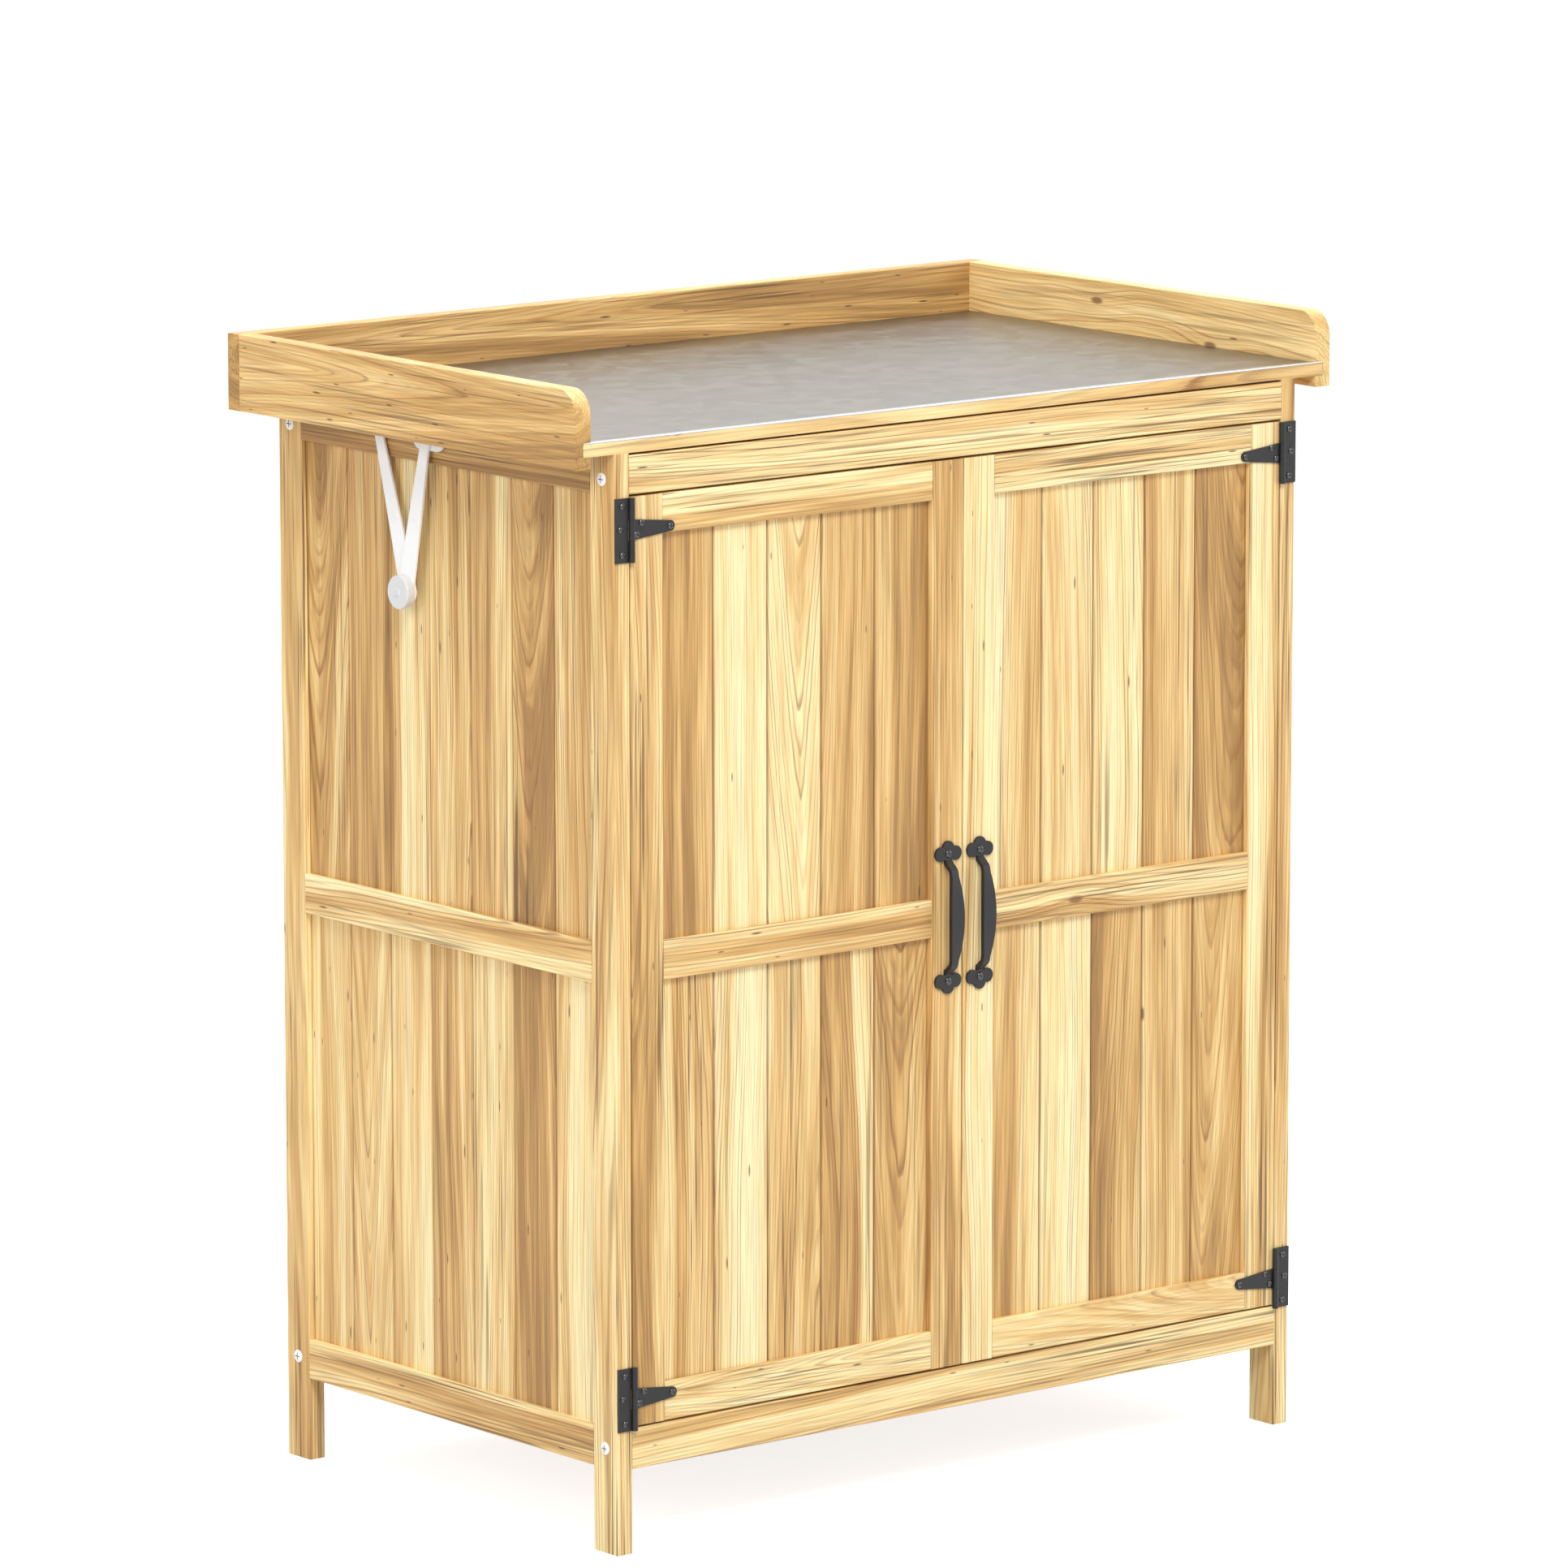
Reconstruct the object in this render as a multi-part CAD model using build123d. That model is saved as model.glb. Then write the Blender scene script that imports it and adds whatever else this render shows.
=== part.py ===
from build123d import *
import os
from math import asin, cos, hypot, sin

# Potting bench: a two-door cabinet on legs with a lift-up worktop.
# Millimetres, +Z up, front towards -Y, origin on the floor under the middle of the whole bench.

# Cabinet frame
stock = 16.0
body_width = 746.5
body_depth = 462.4
leg_depth = 32.0
leg_height = 924.5
foot_height = 72.0
rail_height = 34.5
mid_rail_level = 481.0
apron_shadow_gap = 2.0
edge_ease = 0.7

# Tongued panel boards, held in grooves of the frames
panel_recess = 6.0
board_thickness = 7.0
groove_depth = 8.0
groove_play = 0.2
board_end_play = 1.0
haunch = 6.0
seam_gap = 0.4
seam_vee = 1.3
tongue_length = 4.0
tongue_thickness = 2.4
tongue_play = 0.2
side_board_count = 7
door_board_count = 5
back_board_count = 12

# Doors
door_reveal = 2.0
hinge_gap = 1.2
meeting_gap = 1.5
stile_width = 33.5
door_rail_height = 32.6

# Shelves
cleat_size = 16.0
shelf_thickness = 12.0
shelf_board_count = 5
shelf_board_gap = 3.0
shelf_play = 1.0
floor_drop = 2.5

# T-hinges of the doors
leaf_thickness = 1.6
barrel_radius = 2.6
barrel_stand = 2.7
hinge_pin_radius = 1.3
pin_press = 0.02
pin_run = 0.06
knuckle_gap = 0.15
knuckle_relief = 0.4
plate_height = 53.4
plate_margin = 0.3
strap_root_height = 17.6
strap_tip_height = 9.0
strap_length = 45.5
upper_hinge_drop = 27.0
lower_hinge_rise = 23.6
plate_screw_reach = 9.0
plate_screw_spread = 20.2
plate_middle_screw_shift = 2.0
plate_middle_screw_rise = 1.0
strap_near_screw = 5.8
strap_near_screw_drop = 4.2
strap_far_screw = 11.0
strap_far_screw_rise = 5.2
strap_tip_screw = 41.0

# Pulls
pull_length = 131.5
pull_screw_spacing = 109.4
pull_reach = 15.5
pull_plate_thickness = 2.4
pull_plate_width = 28.5
pull_lobe_radius = 6.2
pull_boss_radius = 6.4
pull_neck_width = 7.2
pull_grip_width = 14.0
pull_bar_thickness = 4.0
pull_foot_inset = 3.8
pull_neck_run = 9.0
pull_neck_rise = 10.4
pull_neck_bend = 7.0
pull_grip_length = 72.0

# Screws
hinge_screw_head = 5.6
hinge_screw_dome = 1.8
hinge_screw_shank = 2.6
hinge_screw_length = 12.0
pull_screw_head = 6.6
leg_screw_head = 11.0
leg_screw_dome = 1.5
leg_screw_shank = 5.0
leg_screw_length = 52.0
leg_screw_drop = 22.0
lid_screw_head = 7.0
lid_screw_dome = 1.8
lid_screw_shank = 3.4
lid_screw_length = 45.0
drill_play = 0.1
screw_rim = 0.6
cross_depth = 1.0
cross_width = 0.8
cross_share = 0.55
overcut = 1.0

# Magnetic catch
catch_width = 52.0
catch_height = 13.0
strike_width = 20.0
strike_height = 14.0
strike_thickness = 1.2
strike_inset = 3.0
catch_air = 0.3

# Worktop lid
lid_overhang = 39.65
lid_skirt = 10.1
lid_wall = 55.5
lid_corner_radius = 22.0
lid_rear_gap = 1.8
top_thickness = 10.6
top_board_count = 5
top_board_gap = 0.3
housing_depth = 8.0
housing_play = 0.3
sheet_thickness = 0.8
sheet_play = 0.3
batten_width = 45.0
batten_spacing = 460.0
batten_clearance = 10.0
batten_screw_length = 22.0
lid_back_screw_inset = 11.1
lid_back_screw_spacing = 21.2

# Butt hinges of the lid
lid_hinge_count = 3
lid_hinge_pitch = 285.0
lid_hinge_length = 50.0
lid_barrel_radius = 2.5
lid_barrel_stand = 2.7
lid_leaf_thickness = 1.5
rail_leaf_reach = 24.0
rail_leaf_screw_drop = 9.4
board_leaf_reach = 14.0
board_leaf_screw_reach = 8.8
rail_leaf_screw_spacing = 34.0
board_leaf_screw_spacing = 18.0

# Folding stay on the left side: elbow and pivots measured from the lid's hinge line
stay_lid_reach = 219.0
stay_cabinet_reach = 148.1
stay_elbow_reach = 188.8
stay_pivot_drop = 10.6
stay_elbow_drop = 145.5
stay_arm_thickness = 2.5
stay_arm_end_radius = 5.4
stay_arm_root_radius = 10.4
stay_hub_radius = 14.4
stay_hub_thickness = 7.6
stay_button_radius = 3.2
stay_button_height = 0.8
stay_spacer = 1.6
stay_layer_gap = 0.3
stay_shaft_radius = 4.0
stay_pivot_radius = 2.5
stay_pivot_head = 9.0
stay_pivot_head_height = 1.6
stay_screw_depth = 13.0
stay_rivet_head_radius = 6.4
stay_rivet_head_height = 0.9
ear_width = 41.0
ear_drop = 23.0
ear_corner = 9.0
flange_width = 19.0
bracket_screw_reach = 11.4
bracket_screw_cover = 1.0

# Places worked out from the sizes above
overall_depth = pull_reach + body_depth + lid_rear_gap + stock
y_front = pull_reach - overall_depth / 2
y_rear = y_front + body_depth
y_middle = (y_front + y_rear) / 2
x_side = body_width / 2
x_inner = x_side - stock
side_opening = body_depth - 2 * leg_depth
back_opening = 2 * x_inner
rail_top = leg_height - rail_height
floor_rail_top = foot_height + rail_height
mid_rail_top = mid_rail_level + rail_height
shelf_front = y_front + leg_depth
shelf_rear = y_rear - leg_depth

door_low = floor_rail_top + door_reveal
door_high = rail_top - door_reveal
door_outer = x_inner - hinge_gap
door_inner = meeting_gap / 2
door_width = door_outer - door_inner
door_opening = door_width - 2 * stile_width
door_middle = -(door_outer + door_inner) / 2
door_mid_low = mid_rail_level + (rail_height - door_rail_height) / 2
door_back = y_front + stock

hinge_x = -(x_inner - hinge_gap / 2)
hinge_y = y_front - barrel_stand
hinge_levels = (door_high - upper_hinge_drop, door_low + lower_hinge_rise)

lid_x = x_side + lid_overhang
lid_inner_x = lid_x - stock
lid_low = leg_height - lid_skirt
lid_high = leg_height + lid_wall
lid_back_face = y_rear + lid_rear_gap
lid_rear = lid_back_face + stock
top_surface = leg_height + top_thickness
lid_axis_y = y_rear + lid_barrel_stand
lid_axis_z = lid_low - lid_barrel_stand


# Shapes used again and again

def block(x, y, z):
    size = (x[1] - x[0], y[1] - y[0], z[1] - z[0])
    return Pos(sum(x) / 2, sum(y) / 2, sum(z) / 2) * Box(*size)


def timber(x, y, z, along):
    piece = block(x, y, z)
    return chamfer(piece.edges().filter_by(along), edge_ease)


def span(middle, length):
    return (middle - length / 2, middle + length / 2)


def prism(points, low, high):
    outline = make_face(Polyline(*points, close=True))
    return Pos(0, 0, low) * extrude(outline, amount=high - low, dir=(0, 0, 1))


def facing(place, direction):
    return Plane(origin=place, z_dir=direction).location


def rod(radius, low, high):
    return Pos(0, 0, low) * Cylinder(radius, high - low, align=(Align.CENTER, Align.CENTER, Align.MIN))


def screw(head, dome, shank, length):
    profile = make_face(
        Line((0, 0), (head / 2, 0))
        + Line((head / 2, 0), (head / 2, screw_rim))
        + TangentArc((0, dome), (head / 2, screw_rim), tangent=(1, 0))
        + Line((0, dome), (0, 0))
    )
    dome_shape = revolve(Plane.XZ * profile, Axis.Z)
    slot = Box(head * cross_share, cross_width, 2 * cross_depth)
    recess = Pos(0, 0, dome) * (slot + Rot(0, 0, 90) * slot)
    return dome_shape - recess + rod(shank / 2, -length, 0)


def pilot(shank, length):
    return rod(shank / 2 + drill_play, -length - drill_play, 0)


def mirrored(shape):
    return mirror(shape, about=Plane.YZ)


def save(name, *solids):
    shape = solids[0] if len(solids) == 1 else Compound(children=list(solids))
    export_step(shape, f"parts/{name}.step")


os.makedirs("parts", exist_ok=True)


# Framed panels are drawn flat: x across, y from the face inwards, z up

def tongued_boards(count, opening, low, high):
    pitch = opening / count
    lap = groove_depth - board_end_play
    tongue_low = (board_thickness - tongue_thickness) / 2
    tongue_high = tongue_low + tongue_thickness
    boards = []
    for number in range(count):
        first = number == 0
        last = number == count - 1
        left = -opening / 2 + number * pitch + (-lap if first else seam_gap / 2)
        right = -opening / 2 + (number + 1) * pitch + (lap if last else -seam_gap / 2)
        if last:
            right_edge = [(right, 0), (right, board_thickness)]
        else:
            tip = right + tongue_length
            right_edge = [
                (right - seam_vee, 0),
                (right, seam_vee),
                (right, tongue_low),
                (tip, tongue_low),
                (tip, tongue_high),
                (right, tongue_high),
                (right, board_thickness),
            ]
        if first:
            left_edge = [(left, board_thickness), (left, 0)]
        else:
            bottom = left + tongue_length + tongue_play
            left_edge = [
                (left, board_thickness),
                (left, tongue_high + tongue_play),
                (bottom, tongue_high + tongue_play),
                (bottom, tongue_low - tongue_play),
                (left, tongue_low - tongue_play),
                (left, seam_vee),
                (left + seam_vee, 0),
            ]
        boards.append(Pos(0, panel_recess, 0) * prism(right_edge + left_edge, low, high))
    return boards


def board_rows(count, opening, bottom_rail_top, mid_low, mid_high, top_rail_low):
    lap = groove_depth - board_end_play
    lower = tongued_boards(count, opening, bottom_rail_top - groove_depth, mid_low + lap)
    upper = tongued_boards(count, opening, mid_high - groove_depth, top_rail_low + lap)
    return lower + upper


groove_span = (panel_recess - groove_play, panel_recess + board_thickness + groove_play)
tenon_span = (panel_recess, panel_recess + board_thickness)


def panel_rail(opening, low, high, groove_below, groove_above):
    across = (-opening / 2, opening / 2)
    rail = timber(across, (0, stock), (low, high), Axis.X)
    tenon_low = low + (groove_depth if groove_below else haunch)
    tenon_high = high - (groove_depth if groove_above else haunch)
    if groove_below:
        rail -= block(across, groove_span, (low, tenon_low))
    if groove_above:
        rail -= block(across, groove_span, (tenon_high, high))
    for side in (-1, 1):
        ends = sorted((side * opening / 2, side * (opening / 2 + groove_depth - board_end_play)))
        rail += block(ends, tenon_span, (tenon_low, tenon_high))
    return rail


# Side panels: two legs, three rails and two rows of boards, drawn flat and turned to face left

left_side = Location((-x_side, y_middle, 0), (0, 0, -90))
leg_groove = (foot_height + haunch, leg_height - haunch)
leg_screw_levels = (leg_height - leg_screw_drop, foot_height + rail_height / 2)
leg_screw_rows = (y_front + leg_depth / 2, y_rear - leg_depth / 2)
left_leg_screws = []
for row in leg_screw_rows:
    for level in leg_screw_levels:
        left_leg_screws.append(facing((-x_side, row, level), (-1, 0, 0)))


def side_leg(side):
    edges = sorted((side * side_opening / 2, side * (side_opening / 2 + leg_depth)))
    groove = sorted((side * side_opening / 2, side * (side_opening / 2 + groove_depth)))
    leg = timber(edges, (0, stock), (0, leg_height), Axis.Z)
    leg -= block(groove, groove_span, leg_groove)
    leg = left_side * leg
    for place in left_leg_screws:
        leg -= place * pilot(leg_screw_shank, leg_screw_length)
    return leg


back_groove_y = (y_rear - groove_span[1], y_rear - groove_span[0])
front_leg = side_leg(1)
rear_leg = side_leg(-1) - block((-x_inner - groove_depth, -x_inner), back_groove_y, leg_groove)

hinge_plate_spots = [
    (-plate_screw_reach, plate_screw_spread),
    (-plate_screw_reach - plate_middle_screw_shift, plate_middle_screw_rise),
    (-plate_screw_reach, -plate_screw_spread),
]
strap_spots = [
    (strap_far_screw, strap_far_screw_rise),
    (strap_near_screw, -strap_near_screw_drop),
    (strap_tip_screw, 0.0),
]


def hinge_screw_places(spots):
    places = []
    for level in hinge_levels:
        for across, up in spots:
            place = (hinge_x + across, y_front - leaf_thickness, level + up)
            places.append(facing(place, (0, -1, 0)))
    return places


plate_screws = hinge_screw_places(hinge_plate_spots)
strap_screws = hinge_screw_places(strap_spots)
hinge_screw = screw(hinge_screw_head, hinge_screw_dome, hinge_screw_shank, hinge_screw_length)
hinge_pilot = pilot(hinge_screw_shank, hinge_screw_length)
for place in plate_screws:
    front_leg -= place * hinge_pilot

save("front_left_leg", front_leg)
save("front_right_leg", mirrored(front_leg))
save("rear_left_leg", rear_leg)
save("rear_right_leg", mirrored(rear_leg))

left_top_rail = left_side * panel_rail(side_opening, rail_top, leg_height, True, False)
left_mid_rail = left_side * panel_rail(side_opening, mid_rail_level, mid_rail_top, True, True)
left_bottom_rail = left_side * panel_rail(side_opening, foot_height, floor_rail_top, False, True)
side_boards = board_rows(
    side_board_count, side_opening, floor_rail_top, mid_rail_level, mid_rail_top, rail_top
)
left_boards = [left_side * board for board in side_boards]

# Stay pivots on the lid's hinge line, in the plane of the left side
stay_cabinet_y = lid_axis_y - stay_cabinet_reach
stay_lid_y = lid_axis_y - stay_lid_reach
stay_elbow_y = lid_axis_y - stay_elbow_reach
stay_pivot_z = leg_height - stay_pivot_drop
stay_elbow_z = leg_height - stay_elbow_drop
stay_inner_x = -x_side - stay_spacer
stay_outer_x = stay_inner_x - stay_arm_thickness - stay_layer_gap
stay_cabinet_spot = facing((-x_side, stay_cabinet_y, stay_pivot_z), (-1, 0, 0))

save("right_top_rail", mirrored(left_top_rail))
save("left_top_rail", left_top_rail - stay_cabinet_spot * pilot(2 * stay_pivot_radius, stay_screw_depth))
save("left_mid_rail", left_mid_rail)
save("right_mid_rail", mirrored(left_mid_rail))
save("left_bottom_rail", left_bottom_rail)
save("right_bottom_rail", mirrored(left_bottom_rail))
save("left_side_boards", *left_boards)
save("right_side_boards", *[mirrored(board) for board in left_boards])

leg_screw = screw(leg_screw_head, leg_screw_dome, leg_screw_shank, leg_screw_length)
left_screws = [place * leg_screw for place in left_leg_screws]
save("leg_screws", *left_screws, *[mirrored(piece) for piece in left_screws])


# Front rails between the legs

def cross_rail(y, z):
    rail = timber((-x_inner, x_inner), y, z, Axis.X)
    for place in left_leg_screws:
        hole = place * pilot(leg_screw_shank, leg_screw_length)
        rail = rail - hole - mirrored(hole)
    return rail


front_rail_y = (y_front, shelf_front)
rear_rail_y = (shelf_rear, y_rear)
save("front_top_rail", cross_rail(front_rail_y, (rail_top, leg_height - apron_shadow_gap)))
save("front_bottom_rail", cross_rail(front_rail_y, (foot_height, floor_rail_top)))

# Back panel, with the leaves of the lid's hinges on its top rail

back = Location((0, y_rear, 0), (0, 0, 180))
back_groove_x = (-x_inner, x_inner)
rear_top_rail = cross_rail(rear_rail_y, (rail_top, leg_height))
rear_top_rail -= block(back_groove_x, back_groove_y, (rail_top, rail_top + groove_depth))
rear_bottom_rail = cross_rail(rear_rail_y, (foot_height, floor_rail_top))
rear_bottom_rail -= block(back_groove_x, back_groove_y, (floor_rail_top - groove_depth, floor_rail_top))
rear_mid_rail = back * panel_rail(back_opening, mid_rail_level, mid_rail_top, True, True)
back_boards = board_rows(
    back_board_count, back_opening, floor_rail_top, mid_rail_level, mid_rail_top, rail_top
)

lid_hinge_spots = [(n - (lid_hinge_count - 1) / 2) * lid_hinge_pitch for n in range(lid_hinge_count)]
rail_leaf_screws = []
board_leaf_screws = []
for spot in lid_hinge_spots:
    for across in span(spot, rail_leaf_screw_spacing):
        place = (across, y_rear + lid_leaf_thickness, lid_axis_z - rail_leaf_screw_drop)
        rail_leaf_screws.append(facing(place, (0, 1, 0)))
    for across in span(spot, board_leaf_screw_spacing):
        place = (across, lid_axis_y + board_leaf_screw_reach, lid_low - lid_leaf_thickness)
        board_leaf_screws.append(facing(place, (0, 0, -1)))
for place in rail_leaf_screws:
    rear_top_rail -= place * hinge_pilot

save("rear_top_rail", rear_top_rail)
save("rear_mid_rail", rear_mid_rail)
save("rear_bottom_rail", rear_bottom_rail)
save("back_boards", *[back * board for board in back_boards])


# Floor and shelf: loose boards on cleats

def shelf_boards(top):
    room = shelf_rear - shelf_front - 2 * shelf_play
    pitch = (room + shelf_board_gap) / shelf_board_count
    boards = []
    for number in range(shelf_board_count):
        near = shelf_front + shelf_play + number * pitch
        across = (near, near + pitch - shelf_board_gap)
        long = (-x_inner + shelf_play, x_inner - shelf_play)
        boards.append(timber(long, across, (top - shelf_thickness, top), Axis.X))
    return boards


floor_top = floor_rail_top - floor_drop
shelf_top = mid_rail_top - floor_drop
left_cleats = []
for top in (floor_top, shelf_top):
    cleat_top = top - shelf_thickness
    long = (shelf_front + shelf_play, shelf_rear - shelf_play)
    cleat = timber((-x_inner, -x_inner + cleat_size), long, (cleat_top - cleat_size, cleat_top), Axis.Y)
    left_cleats.append(cleat)
save("floor_boards", *shelf_boards(floor_top))
save("shelf_boards", *shelf_boards(shelf_top))
save("shelf_cleats", *left_cleats, *[mirrored(cleat) for cleat in left_cleats])

# Magnetic catch under the front top rail, and the strike plates that it holds

catch_face = door_back + strike_thickness + catch_air
save("door_catch", block(span(0, catch_width), (catch_face, shelf_front), (rail_top - catch_height, rail_top)))
strike_high = door_high - strike_inset
left_strike = block(
    span(-door_inner - stile_width / 2, strike_width),
    (door_back, door_back + strike_thickness),
    (strike_high - strike_height, strike_high),
)
save("left_strike_plate", left_strike)
save("right_strike_plate", mirrored(left_strike))


# T-hinges, drawn round the upright pin line: plate to the left, strap to the right

def hinge_plate():
    half = strap_root_height / 2 + knuckle_gap
    reach = hinge_x + x_side - plate_margin
    plate_y = (barrel_stand - leaf_thickness, barrel_stand)
    plate = block((-reach, 0), plate_y, span(0, plate_height))
    plate += rod(barrel_radius, -plate_height / 2, plate_height / 2)
    notch = barrel_radius + knuckle_relief
    plate -= block((-notch, notch), (-notch, notch + barrel_stand), (-half, half))
    return plate - rod(hinge_pin_radius + pin_press, -plate_height, plate_height)


def hinge_strap():
    root = strap_root_height / 2
    tip = strap_tip_height / 2
    shoulder = strap_length - tip
    outline = make_face(
        Line((0, -root), (shoulder, -tip))
        + ThreePointArc((shoulder, -tip), (strap_length, 0), (shoulder, tip))
        + Line((shoulder, tip), (0, root))
        + Line((0, root), (0, -root))
    )
    on_door = Plane(origin=(0, barrel_stand, 0), x_dir=(1, 0, 0), z_dir=(0, -1, 0)).location
    leaf = on_door * extrude(outline, amount=leaf_thickness)
    strap = leaf + rod(barrel_radius, -root, root)
    return strap - rod(hinge_pin_radius + pin_run, -plate_height, plate_height)


def drilled(shape, places, tool):
    for place in places:
        shape = shape - place * tool
    return shape


hinge_places = [Pos(hinge_x, hinge_y, level) for level in hinge_levels]
leaf_drill = rod(hinge_screw_shank / 2 + drill_play, -barrel_stand, barrel_stand)
plates = [drilled(place * hinge_plate(), plate_screws, leaf_drill) for place in hinge_places]
straps = [drilled(place * hinge_strap(), strap_screws, leaf_drill) for place in hinge_places]
door_pins = [place * rod(hinge_pin_radius, -plate_height / 2, plate_height / 2) for place in hinge_places]
save("leg_hinge_plates", *plates, *[mirrored(plate) for plate in plates])


# Butt hinges of the lid, drawn along x round the pin line

def lid_hinge_leaf(reach, upright, middle_knuckle, bore):
    half = lid_hinge_length / 3 / 2  # the middle knuckle takes a third of the length
    flat = (lid_barrel_stand - lid_leaf_thickness, lid_barrel_stand)
    if upright:
        leaf = block(span(0, lid_hinge_length), (-flat[1], -flat[0]), (-reach, 0))
    else:
        leaf = block(span(0, lid_hinge_length), (0, reach), flat)
    along = Rot(0, 90, 0)
    leaf += along * rod(lid_barrel_radius, -lid_hinge_length / 2, lid_hinge_length / 2)
    room = lid_barrel_stand + knuckle_relief
    near = (-room, room)
    if middle_knuckle:
        inner = half - knuckle_gap
        for side in (-1, 1):
            ends = sorted((side * inner, side * lid_hinge_length))
            leaf -= block(ends, near, near)
    else:
        leaf -= block((-half, half), near, near)
    return leaf - along * rod(bore, -lid_hinge_length, lid_hinge_length)


lid_hinge_places = [Pos(spot, lid_axis_y, lid_axis_z) for spot in lid_hinge_spots]
rail_leaf = lid_hinge_leaf(rail_leaf_reach, True, False, hinge_pin_radius + pin_press)
board_leaf = lid_hinge_leaf(board_leaf_reach, False, True, hinge_pin_radius + pin_run)
rail_leaves = [drilled(place * rail_leaf, rail_leaf_screws, leaf_drill) for place in lid_hinge_places]
board_leaves = [drilled(place * board_leaf, board_leaf_screws, leaf_drill) for place in lid_hinge_places]
lid_pin = Rot(0, 90, 0) * rod(hinge_pin_radius, -lid_hinge_length / 2, lid_hinge_length / 2)
lid_pins = [place * lid_pin for place in lid_hinge_places]
save("lid_hinge_rail_leaves", *rail_leaves)
save("lid_hinge_board_leaves", *board_leaves)
save("hinge_pins", *door_pins, *[mirrored(pin) for pin in door_pins], *lid_pins)

left_plate_screws = [place * hinge_screw for place in plate_screws]
right_plate_screws = [mirrored(piece) for piece in left_plate_screws]
rail_leaf_pieces = [place * hinge_screw for place in rail_leaf_screws]
save("hinge_plate_screws", *left_plate_screws, *right_plate_screws, *rail_leaf_pieces)

# Doors: the left one is drawn in place, and the right one is its mirror image

door_place = Pos(door_middle, y_front, 0)
door_groove = (door_low + haunch, door_high - haunch)
pull_x = -door_inner - stile_width / 2
pull_z = (door_mid_low * 2 + door_rail_height) / 2
pull_screw_levels = span(pull_z, pull_screw_spacing)
pull_screws = [facing((pull_x, y_front - pull_plate_thickness, level), (0, -1, 0)) for level in pull_screw_levels]
door_screw_places = strap_screws + pull_screws


def door_stile(side):
    inside = side * door_opening / 2
    edges = sorted((inside, inside + side * stile_width))
    groove = sorted((inside, inside + side * groove_depth))
    stile = timber(edges, (0, stock), (door_low, door_high), Axis.Z)
    stile -= block(groove, groove_span, door_groove)
    return drilled(door_place * stile, door_screw_places, hinge_pilot)


def door_rail(low, groove_below, groove_above):
    rail = panel_rail(door_opening, low, low + door_rail_height, groove_below, groove_above)
    return drilled(door_place * rail, door_screw_places, hinge_pilot)


door_bottom_top = door_low + door_rail_height
door_top_low = door_high - door_rail_height
door_mid_high = door_mid_low + door_rail_height
door_boards = board_rows(
    door_board_count, door_opening, door_bottom_top, door_mid_low, door_mid_high, door_top_low
)
door_boards = [drilled(door_place * board, strap_screws, hinge_pilot) for board in door_boards]


# Pull, drawn flat: x across, y up, z out of the door

def pull():
    end = pull_screw_spacing / 2
    lobe_x = pull_plate_width / 2 - pull_lobe_radius
    lobe_y = pull_length / 2 - pull_lobe_radius
    plates = Sketch()
    for side in (-1, 1):
        plates += Pos(0, side * end) * Circle(pull_boss_radius)
        plates += Pos(0, side * lobe_y) * Circle(pull_lobe_radius)
        for across in (-lobe_x, lobe_x):
            plates += Pos(across, side * end) * Circle(pull_lobe_radius)
    body = extrude(plates, amount=pull_plate_thickness)
    foot = end - pull_foot_inset
    shoulder = foot - pull_neck_run
    hump = make_face(
        Polyline((shoulder, pull_neck_rise), (foot, 0), (foot, -pull_bar_thickness))
        + Line((foot, -pull_bar_thickness), (-foot, -pull_bar_thickness))
        + Polyline((-foot, -pull_bar_thickness), (-foot, 0), (-shoulder, pull_neck_rise))
        + ThreePointArc((-shoulder, pull_neck_rise), (0, pull_reach), (shoulder, pull_neck_rise))
    )
    hump = fillet(hump.vertices().group_by(Axis.Y)[-1], pull_neck_bend)
    below = Pos(0, -pull_bar_thickness / 2) * Rectangle(pull_length, pull_bar_thickness)
    side_view = hump - offset(hump, -pull_bar_thickness) - below
    neck = pull_neck_width / 2
    grip = pull_grip_width / 2
    swell = pull_grip_length / 2
    front_view = make_face(
        Polyline((-neck, swell), (-neck, foot), (neck, foot), (neck, swell))
        + ThreePointArc((neck, swell), (grip, 0), (neck, -swell))
        + Polyline((neck, -swell), (neck, -foot), (-neck, -foot), (-neck, -swell))
        + ThreePointArc((-neck, -swell), (-grip, 0), (-neck, swell))
    )
    strip = extrude(Plane.YZ * side_view, amount=pull_grip_width, both=True)
    bow = strip & extrude(front_view, amount=pull_reach)
    return body + bow


pull_frame = Plane(origin=(pull_x, y_front, pull_z), x_dir=(1, 0, 0), z_dir=(0, -1, 0)).location
pull_drill = rod(hinge_screw_shank / 2 + drill_play, -pull_plate_thickness, pull_reach)
left_pull = drilled(pull_frame * pull(), pull_screws, pull_drill)
pull_screw = screw(pull_screw_head, hinge_screw_dome, hinge_screw_shank, hinge_screw_length)
door_screws = [place * hinge_screw for place in strap_screws] + [place * pull_screw for place in pull_screws]

door_pieces = {
    "door_hinge_stile": [door_stile(-1)],
    "door_meeting_stile": [door_stile(1)],
    "door_top_rail": [door_rail(door_top_low, True, False)],
    "door_mid_rail": [door_rail(door_mid_low, True, True)],
    "door_bottom_rail": [door_rail(door_low, False, True)],
    "door_boards": door_boards,
    "door_hinge_straps": straps,
    "door_pull": [left_pull],
    "door_screws": door_screws,
}
for name, solids in door_pieces.items():
    save(f"left_{name}", *solids)
    save(f"right_{name}", *[mirrored(solid) for solid in solids])

# Worktop lid: three boards round a boarded top with a steel sheet on it

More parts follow.
